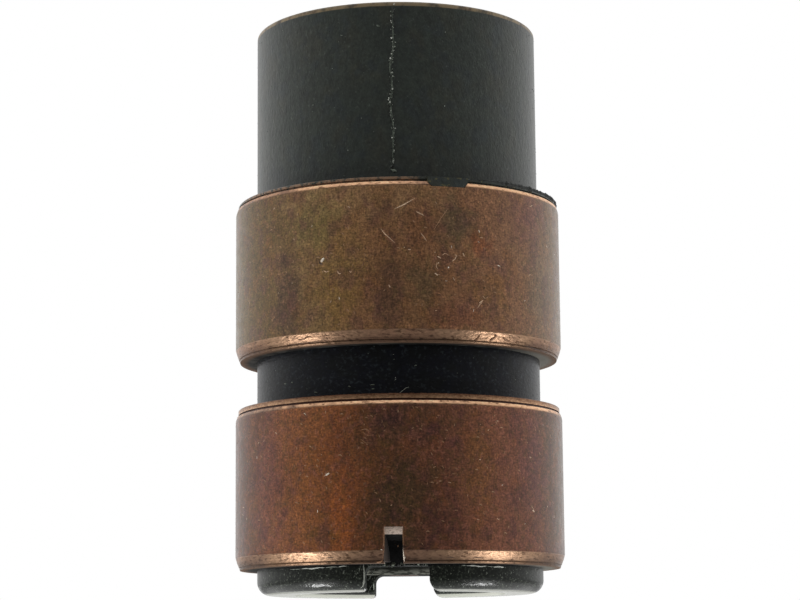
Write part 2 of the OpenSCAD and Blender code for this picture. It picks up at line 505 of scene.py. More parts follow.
def solidFromOutline(name, outline, depth, place):
    # A straight prism from an outline in XZ, for cutting and adding
    rows = [[(x, y, z) for x, z in outline] for y in (-depth / 2, depth / 2)]
    return solidFromRows(name, rows, place)


def arcPoints(centreX, centreZ, radius, startTurn, endTurn, steps):
    turns = [math.radians(startTurn + (endTurn - startTurn) * k / steps) for k in range(steps + 1)]
    return [(centreX + radius * math.cos(t), centreZ + radius * math.sin(t)) for t in turns]


# Wear and dust: shapes scattered over a surface or set along a path, and marks drawn along lines

shapeInputs = [
    ("Shape", "Object", None),
    ("Smallest", "Float", 0.5),
    ("Largest", "Float", 1.5),
    ("Limit", "Float", ringRadius * mm),
    ("Seed", "Int", 1),
    ("Material", "Material", None),
]


def scatterTree():
    tree, add, given = startTree("scattered over a surface", [
        ("Surface", "Geometry", None),
        ("Density", "Float", 1.0),
        ("Patch size", "Float", 2.0),
        ("Clear width", "Float", 0.0),
        ("Clear head", "Float", 0.0),
    ] + shapeInputs)
    position = add("GeometryNodeInputPosition")
    inMm = add("ShaderNodeVectorMath", {0: position, "Scale": 1 / mm}, operation="SCALE")
    patchScale = add("ShaderNodeMath", [1, given["Patch size"]], operation="DIVIDE")
    patch = add("ShaderNodeTexNoise", {"Vector": inMm, "Scale": patchScale, "Detail": 2})
    share = add("ShaderNodeMapRange", {"Value": patch, "From Min": 0.35, "From Max": 0.65, "To Min": 0.1})
    # Nothing over the slot: outside its width, above its head or behind the shaft axis counts
    axes = add("ShaderNodeSeparateXYZ", [position]).outputs
    aside = add("ShaderNodeMath", [axes["X"]], operation="ABSOLUTE")
    beside = add("ShaderNodeMath", [aside, given["Clear width"]], operation="GREATER_THAN")
    above = add("ShaderNodeMath", [axes["Z"], given["Clear head"]], operation="GREATER_THAN")
    behind = add("ShaderNodeMath", [axes["Y"], 0], operation="GREATER_THAN")
    outside = add("ShaderNodeMath", [beside, above], operation="MAXIMUM")
    solid = add("ShaderNodeMath", [outside, behind], operation="MAXIMUM")
    even = add("ShaderNodeMath", [solid, given["Density"]], operation="MULTIPLY")
    density = add("ShaderNodeMath", [share, even], operation="MULTIPLY")
    spread = add("GeometryNodeDistributePointsOnFaces", {
        "Mesh": given["Surface"],
        "Density": add("ShaderNodeMath", [density, 1 / mm ** 2], operation="MULTIPLY"),
        "Seed": given["Seed"],
    })
    turn = add("FunctionNodeRandomValue", {"Max": 2 * math.pi, "Seed": given["Seed"]}, data_type="FLOAT")
    spin = add("FunctionNodeAxisAngleToRotation", {"Axis": (0, 0, 1), "Angle": turn})
    values = {"Rotation": spread.outputs["Rotation"], "Rotate By": spin}
    turned = add("FunctionNodeRotateRotation", values, rotation_space="LOCAL")
    placed = setShapes(add, given, spread, turned)
    finishTree(add, given, placed, given["Limit"])
    return tree


def pathTree():
    tree, add, given = startTree("set along a path", [
        ("Path", "Geometry", None),
        ("Spacing", "Float", 0.2 * mm),
        ("Coverage", "Float", 0.8),
        ("Jitter", "Float", 0.1 * mm),
    ] + shapeInputs)
    curve = add("GeometryNodeMeshToCurve", {"Mesh": given["Path"]})
    points = add("GeometryNodeCurveToPoints", {"Curve": curve, "Length": given["Spacing"]}, mode="LENGTH")
    values = {"Min": (-1, -1, -1), "Max": (1, 1, 1), "Seed": given["Seed"]}
    stray = add("FunctionNodeRandomValue", values, data_type="FLOAT_VECTOR")
    offset = add("ShaderNodeVectorMath", {0: stray, "Scale": given["Jitter"]}, operation="SCALE")
    moved = add("GeometryNodeSetPosition", {"Geometry": points, "Offset": offset})
    values = {"Probability": given["Coverage"], "Seed": given["Seed"]}
    chosen = add("FunctionNodeRandomValue", values, data_type="BOOLEAN")
    values = {"Max": (6, 6, 6), "Seed": given["Seed"]}
    turn = add("FunctionNodeRandomValue", values, data_type="FLOAT_VECTOR")
    placed = setShapes(add, given, moved, add("FunctionNodeEulerToRotation", [turn]), chosen)
    finishTree(add, given, placed, given["Limit"])
    return tree


def setShapes(add, given, points, rotation, chosen=True):
    # The shape on every point, each with its own size and its own tone for the material
    shape = add("GeometryNodeObjectInfo", [given["Shape"]]).outputs["Geometry"]
    values = {"Min": given["Smallest"], "Max": given["Largest"], "Seed": given["Seed"]}
    size = add("FunctionNodeRandomValue", values, data_type="FLOAT")
    placed = add("GeometryNodeInstanceOnPoints", {
        "Points": points,
        "Selection": chosen,
        "Instance": shape,
        "Rotation": rotation,
        "Scale": size,
    })
    tone = add("FunctionNodeRandomValue", {"Seed": 3}, data_type="FLOAT")
    values = {"Geometry": placed, "Name": "tone", "Value": tone}
    return add("GeometryNodeStoreNamedAttribute", values, data_type="FLOAT", domain="INSTANCE")


def marksTree():
    # Lines with a width at each point become thin five-sided strands that taper off at both ends
    tree, add, given = startTree("marks along lines", [
        ("Lines", "Geometry", None),
        ("Step", "Float", 0.1 * mm),
        ("Roughen", "Float", 0.3),
        ("Limit", "Float", ringRadius * mm),
        ("Material", "Material", None),
    ])
    curve = add("GeometryNodeMeshToCurve", {"Mesh": given["Lines"]})
    even = add("GeometryNodeResampleCurve", {"Curve": curve, "Length": given["Step"]}, mode="LENGTH")
    along = add("GeometryNodeSplineParameter").outputs["Factor"]
    middle = add("ShaderNodeMath", [along, 2, -1], operation="MULTIPLY_ADD")
    fromMiddle = add("ShaderNodeMath", [middle], operation="ABSOLUTE")
    ends = add("ShaderNodeMath", [fromMiddle, 4], operation="POWER")
    taper = add("ShaderNodeMath", [1.05, ends], operation="SUBTRACT")
    width = add("GeometryNodeInputNamedAttribute", {"Name": "width"}, data_type="FLOAT")
    position = add("GeometryNodeInputPosition")
    uneven = add("ShaderNodeTexNoise", {"Vector": position, "Scale": 1 / (0.25 * mm), "Detail": 2})
    rough = add("ShaderNodeMath", [uneven, 0.5], operation="SUBTRACT")
    swell = add("ShaderNodeMath", [rough, given["Roughen"], 1], operation="MULTIPLY_ADD")
    thick = add("ShaderNodeMath", [width, taper], operation="MULTIPLY")
    scale = add("ShaderNodeMath", [thick, swell], operation="MULTIPLY")
    ring = add("GeometryNodeCurvePrimitiveCircle", {"Resolution": 5, "Radius": 0.5})
    tube = add("GeometryNodeCurveToMesh", {
        "Curve": even,
        "Profile Curve": ring.outputs["Curve"],
        "Scale": scale,
        "Fill Caps": True,
    })
    finishTree(add, given, tube, given["Limit"])
    return tree


def linesMesh(name, lines):
    # Each line: its width in millimetres, its tone and its points
    points, edges, widths, tones = [], [], [], []
    for width, tone, places in lines:
        start = len(points)
        points += places
        edges += [(start + k, start + k + 1) for k in range(len(places) - 1)]
        widths += [width * mm] * len(places)
        tones += [tone] * len(places)
    mesh = bpy.data.meshes.new(name)
    mesh.from_pydata(points, edges, [])
    setValues(mesh, "width", widths)
    setValues(mesh, "tone", tones)
    return mesh


def bandMesh(name, radius, foot, head):
    # A plain band all round the part to scatter on
    columns = 120
    mesh = bpy.data.meshes.new(name)
    turns = [360 * k / columns - 180 for k in range(columns + 1)]
    points = [around(t, radius, foot) for t in turns] + [around(t, radius, head) for t in turns]
    faces = [(k, k + 1, columns + 2 + k, columns + 1 + k) for k in range(columns)]
    mesh.from_pydata(points, [], faces)
    return mesh


def crumbShape(name, size, flatness):
    # A small lump with a few dents, about one size across
    lump = bmesh.new()
    bmesh.ops.create_icosphere(lump, subdivisions=1, radius=size / 2 * mm)
    for k, vert in enumerate(lump.verts):
        vert.co *= 1 + 0.25 * math.sin(k * 2.4)
        vert.co.z *= flatness
    return linkShape(name, lump)


def sliverShape(name, length, width, bend):
    # A short curved sliver, narrow at both ends, with a flat top and a keel below
    rows = []
    for share in (1, 0.5, 0, -0.5, -1):
        x = length / 2 * share
        y = bend * (1 - share ** 2)
        half = width / 2 * (1 - share ** 2 * 0.9)
        rows.append([(x, y - half, 0.004), (x, y, -0.03), (x, y + half, 0.004)])
    return solidFromRows(name, rows)


scattered = scatterTree()
alongPath = pathTree()
marked = marksTree()
turnedOneCut = turningTree("turned, one cut", 0, 1)
turnedBody = turningTree("turned, one add and three cuts", 1, 3, True)
print("node trees built")


# Materials: coordinates are the piece's own, in millimetres, with the shaft axis at the middle

def startMaterial(name):
    material = bpy.data.materials.new(name)
    material.use_nodes = True
    material.node_tree.nodes.clear()
    add = partial(addNode, material.node_tree)
    coords = add("ShaderNodeTexCoord").outputs["Object"]
    at = {"place": add("ShaderNodeVectorMath", {0: coords, "Scale": 1 / mm}, operation="SCALE")}
    axes = add("ShaderNodeSeparateXYZ", [at["place"]]).outputs
    at["x"], at["z"] = axes["X"], axes["Z"]
    at["aside"] = add("ShaderNodeMath", [axes["X"]], operation="ABSOLUTE")
    flat = add("ShaderNodeVectorMath", [at["place"], (1, 1, 0)], operation="MULTIPLY")
    at["radius"] = add("ShaderNodeVectorMath", [flat], operation="LENGTH")
    at["front"] = add("ShaderNodeMath", [axes["Y"], -1], operation="MULTIPLY")
    at["turn"] = add("ShaderNodeMath", [axes["X"], at["front"]], operation="ARCTAN2")
    return material, add, at


def finishMaterial(material, add, values):
    finish = add("ShaderNodeBsdfPrincipled", values)
    add("ShaderNodeOutputMaterial", {"Surface": finish})
    return material


def addPatches(add, at, across, along, shift, detail):
    # Random patches of a real size: millimetres across them and millimetres along the shaft
    stretch = (1 / across, 1 / across, 1 / along)
    cell = add("ShaderNodeVectorMath", [at["place"], stretch], operation="MULTIPLY")
    values = {"Vector": cell, "W": shift, "Scale": 1, "Detail": detail}
    return add("ShaderNodeTexNoise", values, noise_dimensions="4D")


def addLayers(add, colour, layers):
    # Colours laid one over another: where each shows, then its hue
    for share, hue in layers:
        colour = add("ShaderNodeMix", {"Factor": share, "A": colour, "B": hue}, data_type="RGBA")
    return colour


def addClouds(add, at, colour, clouds):
    # Soft patches of another hue: size across, size along the shaft, where the noise starts and
    # ends to show, how strongly, and the hue
    for k, (across, along, low, high, strength, hue) in enumerate(clouds):
        cover = add("ShaderNodeMapRange", {
            "Value": addPatches(add, at, across, along, 3.7 * k, 4),
            "From Min": low,
            "From Max": high,
            "To Max": strength,
        }, interpolation_type="SMOOTHSTEP")
        colour = addLayers(add, colour, [(cover, hue)])
    return colour


def addGrain(add, at, colour, grains):
    # Fine light and dark variation: size across, size along the shaft, how strong
    for k, (across, along, strength) in enumerate(grains):
        tone = add("ShaderNodeMapRange", {
            "Value": addPatches(add, at, across, along, 5.1 + k, 2),
            "From Min": 0.25,
            "From Max": 0.75,
            "To Min": 1 - strength,
            "To Max": 1 + strength,
        })
        values = {"Factor": 1, "A": colour, "B": tone}
        colour = add("ShaderNodeMix", values, data_type="RGBA", blend_type="MULTIPLY")
    return colour


stainEdge = {
    "raggedSize": 1.2,
    "raggedness": 0.45,
    # in shares of the stain's half size
    "outermost": 1.3,
    "innermost": 0.4,
}


def addStains(add, at, colour, stains):
    # Ragged stains in their own places: degrees from the front, height, width, height across
    # the stain, how strong, and the hue
    scale = 1 / stainEdge["raggedSize"]
    ripple = add("ShaderNodeMapRange", {
        "Value": add("ShaderNodeTexNoise", {"Vector": at["place"], "Scale": scale, "Detail": 4}),
        "From Min": 0.3,
        "From Max": 0.7,
        "To Min": -stainEdge["raggedness"],
        "To Max": stainEdge["raggedness"],
    })
    for degrees, height, wide, tall, strength, hue in stains:
        turned = add("ShaderNodeMath", [at["turn"], math.radians(degrees)], operation="SUBTRACT")
        raised = add("ShaderNodeMath", [at["z"], height], operation="SUBTRACT")
        offset = add("ShaderNodeCombineXYZ", {"X": turned, "Y": raised})
        stretch = (2 * ringRadius / wide, 2 / tall, 0)
        scaled = add("ShaderNodeVectorMath", [offset, stretch], operation="MULTIPLY")
        reach = add("ShaderNodeVectorMath", [scaled], operation="LENGTH").outputs["Value"]
        cover = add("ShaderNodeMapRange", {
            "Value": add("ShaderNodeMath", [reach, ripple], operation="ADD"),
            "From Min": stainEdge["outermost"],
            "From Max": stainEdge["innermost"],
            "To Max": strength,
        }, interpolation_type="SMOOTHSTEP")
        colour = addLayers(add, colour, [(cover, hue)])
    return colour


def addRelief(add, at, reliefs, under=None, share=None):
    # Bumps: size across, size along the shaft, depth in millimetres, and where they show
    normal = under
    for k, (across, along, depth) in enumerate(reliefs):
        wave = addPatches(add, at, across, along, 8.3 + k, 3)
        if share:
            wave = add("ShaderNodeMath", [wave, share], operation="MULTIPLY")
        values = {"Height": wave, "Distance": depth * mm, "Strength": 1}
        if normal:
            values["Normal"] = normal
        normal = add("ShaderNodeBump", values)
    return normal


def addMasks(add, fades, limits, overlaps):
    # Where each finish shows, and values that change with the place. A fade has a value, where it
    # starts and ends and perhaps its least and most, a limit has a value, a test and what it is
    # tested against, and an overlap has the masks that meet there, with "no" before one that must
    # be away.
    masks = {}
    for name, (value, *ends) in fades.items():
        labels = ("From Min", "From Max", "To Min", "To Max")
        masks[name] = add("ShaderNodeMapRange", {"Value": value, **dict(zip(labels, ends))})
    for name, (value, test, *against) in limits.items():
        masks[name] = add("ShaderNodeMath", [value, *against], operation=test)
    for name, parts in overlaps.items():
        meeting = []
        for part in parts:
            if part.startswith("no "):
                away = [1, masks[part[3:]]]
                meeting.append(add("ShaderNodeMath", away, operation="SUBTRACT"))
            else:
                meeting.append(masks[part])
        masks[name] = meeting[0]
        for other in meeting[1:]:
            masks[name] = add("ShaderNodeMath", [masks[name], other], operation="MULTIPLY")
    return masks


def copperPatina(look):
    # Turned copper dulled by brushes and air: a satin oxide skin in drifting hues that mirrors
    # softly at grazing angles, and rubbed metal where the edges are scraped, partly a painted highlight,
    # with painted shade along the bevels
    material, add, at = startMaterial(look["material"])
    side = add("ShaderNodeMath", [at["x"], at["radius"]], operation="DIVIDE")
    drift = add("ShaderNodeTexNoise", {"Vector": at["place"], "Scale": 1 / look["driftSize"], "Detail": 3})
    moved = add("ShaderNodeMath", [drift, look["drift"], side], operation="MULTIPLY_ADD")
    centred = add("ShaderNodeMath", [moved, look["drift"] / 2], operation="SUBTRACT")
    share = add("ShaderNodeMapRange", {"Value": centred, "From Min": -1, "From Max": 1})
    skin = add("ShaderNodeValToRGB", {"Fac": share}, stops=look["hues"])
    skin = addStains(add, at, skin, look["stains"])
    skin = addClouds(add, at, skin, look["clouds"])
    skin = addGrain(add, at, skin, look["grains"])

    foot, trackHead = look["foot"], look["trackHead"]
    masks = addMasks(add, {
        "worn": (at["radius"], *(trackRadius - depth for depth in look["wornDepths"])),
        "lip": (at["z"], *(foot + rise for rise in look["lipHeights"]), *look["lipPaintedShades"]),
        "topLip": (at["z"], *(trackHead - fall for fall in look["topDepths"]), *look["topPaintedShades"]),
        "under": (at["z"], *(foot + rise for rise in look["underHeights"])),
        "dusted": (side, *look["dustedSides"]),
        "outward": (at["radius"], *look["underRimRadii"], 0, look["underRimStrength"]),
        "landRise": (at["z"], look["seam"] + 0.05, lowerHead),
    }, {
        "high": (at["z"], "GREATER_THAN", (foot + look["head"]) / 2),
        "land": (at["z"], "GREATER_THAN", look["seam"]),
        "seam": (at["z"], "COMPARE", look["seam"], 0.1),
        "inSlot": (at["aside"], "LESS_THAN", wireSlot["width"] / 2 + 0.01),
        "belowTop": (at["z"], "LESS_THAN", lowerFoot + wireSlot["height"] + 0.01),
        "frontSide": (at["front"], "GREATER_THAN", 0),
        "deep": (at["radius"], "LESS_THAN", look["slotShadeInside"]),
    }, {
        "sawn": ("inSlot", "belowTop", "frontSide"),
        "slotShade": ("sawn", "deep"),
    })

    # Rubbed metal below the brush track's radius, duller away from the arcs where hands and tools rub it;
    # the arcs at the front also lie where the lamps' highlights fall, so their brighter gold is partly a
    # painted highlight
    values = {"Vector": at["place"], "Scale": 1 / look["rubbedSize"], "Detail": 4}
    rubbed = add("ShaderNodeTexNoise", values)
    bevels = []
    for arcs, hue in ((look["lowArcs"], look["goldMetal"]), (look["topArcs"], look["pinkMetal"])):
        share = add("ShaderNodeMath", [rubbed, 0.5], operation="SUBTRACT")
        for degrees, reach in arcs:
            away = add("ShaderNodeMath", [at["turn"], math.radians(degrees)], operation="SUBTRACT")
            near = add("ShaderNodeMapRange", {
                "Value": add("ShaderNodeMath", [away], operation="ABSOLUTE"),
                "From Min": math.radians(reach * look["arcCore"]),
                "From Max": math.radians(reach),
                "To Min": look["arcShine"],
                "To Max": 0,
            }, interpolation_type="SMOOTHSTEP")
            share = add("ShaderNodeMath", [share, near], operation="ADD")
        dull, bright = look["shineRange"]
        values = {"Value": share, "From Min": dull, "From Max": bright}
        shine = add("ShaderNodeMapRange", values, interpolation_type="SMOOTHSTEP")
        bevels.append((shine, addLayers(add, look["dullMetal"], [(shine, hue)])))
    (lowShine, lowMetal), (topShine, topMetal) = bevels
    metal = addLayers(add, lowMetal, [(masks["high"], topMetal)])
    metal = addClouds(add, at, metal, look["metalClouds"])
    metal = addGrain(add, at, metal, look["metalGrains"])
    # The lip masks paint shade and highlight on the bevels, multiplied into the metal's colour
    edge = add("ShaderNodeMix", {"Factor": masks["high"], "A": masks["lip"], "B": masks["topLip"]})
    values = {"Factor": 1, "A": metal, "B": edge}
    metal = add("ShaderNodeMix", values, data_type="RGBA", blend_type="MULTIPLY")

    # A near-black under face, paler towards +X and browner towards its outer edge, dirt in the seam, a
    # dull narrow land above it, fresh metal where the saw cut through, and its root deep in the slot
    # painted near-black as shade
    under = addLayers(add, look["underHue"], [(masks["dusted"], look["underDust"])])
    under = addClouds(add, at, under, look["underClouds"])
    under = addLayers(add, under, [(masks["outward"], look["underRim"])])
    land = addLayers(add, look["landHue"], [(masks["landRise"], look["landStain"])])
    land = addClouds(add, at, land, look["landClouds"])
    land = addGrain(add, at, land, look["landGrains"])
    sawn = addClouds(add, at, look["sawnMetal"], look["sawnClouds"])
    shell = addLayers(add, skin, [
        (masks["worn"], metal),
        (masks["under"], under),
        (masks["land"], land),
        (masks["seam"], look["seamHue"]),
        (masks["sawn"], sawn),
        # the slot's depth painted near-black as shade
        (masks["slotShade"], look["slotShadeHue"]),
    ])

    # Where it is dull the rubbed metal keeps a thin oxide skin
    dirty = add("ShaderNodeMath", [masks["under"], masks["seam"]], operation="MAXIMUM")
    clean = add("ShaderNodeMath", [1, dirty], operation="SUBTRACT")
    scraped = add("ShaderNodeMath", [masks["worn"], masks["sawn"]], operation="MAXIMUM")
    bare = add("ShaderNodeMath", [scraped, clean], operation="MULTIPLY")
    shine = add("ShaderNodeMix", {"Factor": masks["high"], "A": lowShine, "B": topShine})
    polish = add("ShaderNodeMapRange", {"Value": shine, "To Min": look["dullMetallic"], "To Max": 1})
    cut = add("ShaderNodeMath", [polish, masks["sawn"]], operation="MAXIMUM")
    metallic = add("ShaderNodeMix", {"Factor": bare, "A": look["skinMetallic"], "B": cut})
    values = {"Vector": at["place"], "Scale": 1 / look["roughSize"], "Detail": 4}
    skinRough = add("ShaderNodeMapRange", {
        "Value": add("ShaderNodeTexNoise", values),
        "From Min": 0.3,
        "From Max": 0.7,
        "To Min": look["roughness"] - look["roughSpread"],
        "To Max": look["roughness"] + look["roughSpread"],
    })
    matt = add("ShaderNodeMix", {"Factor": masks["under"], "A": skinRough, "B": look["dirtRoughness"]})
    values = {"Factor": masks["sawn"], "A": look["metalRoughness"], "B": look["sawnRoughness"]}
    bareRough = add("ShaderNodeMix", values)
    relief = addRelief(add, at, look["reliefs"])
    return finishMaterial(material, add, {
        "Base Color": shell,
        "Metallic": metallic,
        "Roughness": add("ShaderNodeMix", {"Factor": bare, "A": matt, "B": bareRough}),
        "Normal": addRelief(add, at, look["metalReliefs"], relief, masks["worn"]),
    })


def mouldedPhenolic(look):
    # Compression-moulded phenolic: greenish black and matt on the sleeve, blacker and glossier
    # on the neck and feet where it kept its moulded skin, brown where its edges have rubbed
    material, add, at = startMaterial(look["material"])
    size = bodySize
    skin = addClouds(add, at, look["hue"], look["clouds"])
    skin = addGrain(add, at, skin, look["grains"])
    values = {"Vector": at["place"], "Scale": 1 / look["wearSize"], "Detail": 4}
    wear = add("ShaderNodeTexNoise", values)
    values = {"Vector": at["place"], "Scale": 1 / look["smearSize"], "Detail": 4}
    broken = add("ShaderNodeTexNoise", values)
    values = [at["front"], size["gapLean"], at["x"]]
    upright = add("ShaderNodeMath", values, operation="MULTIPLY_ADD")
    fromMiddle = add("ShaderNodeMath", [upright, size["gapShift"]], operation="SUBTRACT")
    rimFoot = totalHeight - size["rimBand"]
    masks = addMasks(add, {
        "rim": (at["z"], rimFoot, rimFoot + look["rimFade"]),
        "patchy": (wear, *look["wearPatches"]),
        "smearStart": (at["turn"], *look["smearStart"]),
        "smearEnd": (at["turn"], *look["smearEnd"]),
        "smearPatchy": (broken, *look["smearPatches"]),
        "fleck": (broken, *look["fleckPatches"]),
        "scuffed": (at["z"], lowerFoot, lowerFoot - look["scuffFade"]),
        "onLedge": (at["z"], *look["chamferFade"]),
        "low": (at["z"], *look["soleFade"]),
        "boreEnd": (at["z"], *(size["feetHeight"] + rise for rise in look["boreEndFade"])),
        "roughness": (at["z"], *look["edgeFade"], look["edgeRoughness"], look["roughness"]),
        "ior": (at["z"], *look["edgeFade"], look["edgeIor"], look["ior"]),
        "unrubbed": (at["z"], *look["rubbedFade"], look["rubbedRelief"]),
    }, {
        "onCollar": (at["radius"], "GREATER_THAN", ringRadius - 0.5),
        "nearBore": (at["radius"], "LESS_THAN", size["bore"] + size["boreChamfer"] + 0.02),
        "inBore": (at["radius"], "LESS_THAN", size["bore"] + 0.05),
        "aboveFeet": (at["z"], "GREATER_THAN", size["feetHeight"]),
        "inSlot": (at["aside"], "LESS_THAN", wireSlot["width"] / 2 + 0.01),
        "outsideBore": (at["front"], "GREATER_THAN", size["bore"]),
        "belowNeck": (at["z"], "LESS_THAN", lowerHead),
        "betweenFeet": (
            add("ShaderNodeMath", [fromMiddle], operation="ABSOLUTE"),
            "LESS_THAN",
            size["gapWidth"] / 2 + 0.02,
        ),
        "gapLow": (at["z"], "LESS_THAN", size["feetHeight"] + 0.02),
    }, {
        "rimWorn": ("rim", "patchy"),
        "smear": ("smearStart", "smearEnd"),
        "smeared": ("smear", "onCollar", "smearPatchy"),
        "flecked": ("fleck", "onCollar", "no smear"),
        "chamfer": ("nearBore", "onLedge"),
        "sole": ("low", "no nearBore"),
        "bore": ("inBore", "aboveFeet"),
        "sawn": ("inSlot", "outsideBore", "belowNeck"),
        "gap": ("betweenFeet", "gapLow"),
    })

    # Light brown rim, copper smeared over the collar's edge on the left, scuffed feet, a dusty bore
    # with its open end, its chamfer and the soles painted pale as light from below, and the saw cut
    # painted black as shade
    rim = addClouds(add, at, look["rimHue"], look["rimClouds"])
    scuff = addClouds(add, at, look["scuffHue"], look["scuffs"])
    # The bore's open end painted pale as light, its dusty hue further in
    bore = addLayers(add, look["boreEndPaintedLightHue"], [(masks["boreEnd"], look["boreHue"])])
    bore = addClouds(add, at, bore, look["boreClouds"])
    skin = addLayers(add, skin, [
        (masks["rimWorn"], rim),
        (masks["smeared"], look["smearHue"]),
        (masks["flecked"], look["fleckHue"]),
        (masks["scuffed"], scuff),
        # the chamfer and the soles painted pale as light from below
        (masks["chamfer"], look["chamferPaintedLightHue"]),
        (masks["sole"], look["solePaintedLightHue"]),
        (masks["bore"], bore),
        (masks["sawn"], look["sawnShadeHue"]),
    ])

    # Raw walls between the feet and in the saw cut, and faces that the part stands on rubbed flat
    raw = add("ShaderNodeMath", [masks["gap"], masks["sawn"]], operation="MAXIMUM")
    raw = add("ShaderNodeMath", [raw, masks["inBore"]], operation="MAXIMUM")
    values = {"Factor": raw, "A": masks["roughness"], "B": look["rawRoughness"]}
    return finishMaterial(material, add, {
        "Base Color": skin,
        "Roughness": add("ShaderNodeMix", values),
        "IOR": masks["ior"],
        "Normal": addRelief(add, at, look["reliefs"], share=masks["unrubbed"]),
    })


def tonedFinish(name, look):
    # Scratched metal, flaked phenolic or dust, its colour set by each mark's own tone; some tones paint
    # highlight or shade
    material, add, at = startMaterial(name)
    tone = add("ShaderNodeAttribute", attribute_name="tone").outputs["Fac"]
    ground = add("ShaderNodeValToRGB", {"Fac": tone}, stops=look["tones"])
    colour = addGrain(add, at, ground, [(0.1, 0.1, 0.3)])
    return finishMaterial(material, add, {
        "Base Color": colour,
        "Metallic": look["metallic"],
        "Roughness": look["roughness"],
        "Normal": addRelief(add, at, [(0.08, 0.08, 0.003)]),
    })


def rolledCopper(name, look):
    # Rolled copper strip, a little tarnished, with fine lines along it from the rolls
    material, add, at = startMaterial(name)
    scale = 1 / look["stainSize"]
    stain = add("ShaderNodeTexNoise", {"Vector": at["place"], "Scale": scale, "Detail": 4})
    tone = add("ShaderNodeValToRGB", {"Fac": stain}, stops=look["tones"])
    return finishMaterial(material, add, {
        "Base Color": tone,
        "Metallic": 1,
        "Roughness": look["roughness"],
        "Normal": addRelief(add, at, look["reliefs"]),
    })


# Lower ring, with the slot that the saw left at the front

wireSlot = {
    "width": 1.5,
    "height": 2.85,
    "sawRadius": 5.0,
    "sawOutside": 0.6,
}

ringSize = {
    "seat": 11.6,
    "lowBevelHeight": 1.1,
    "lowBevelDepth": 0.35,
    "topBevelHeight": 0.33,
    "topBevelDepth": 0.12,
    "seamWidth": 0.18,
    "seamDepth": 0.4,
    "landHeight": 0.58,
    "landInset": 0.23,
    "dovetailMouth": 2.6,
    "dovetailRoot": 3.6,
    "dovetailDepth": 0.7,
    "segments": 840,
    "wanderSize": 1.6,
    "wander": 0.12,
    "topWander": 0.09,
    "facet": 0.07,
}

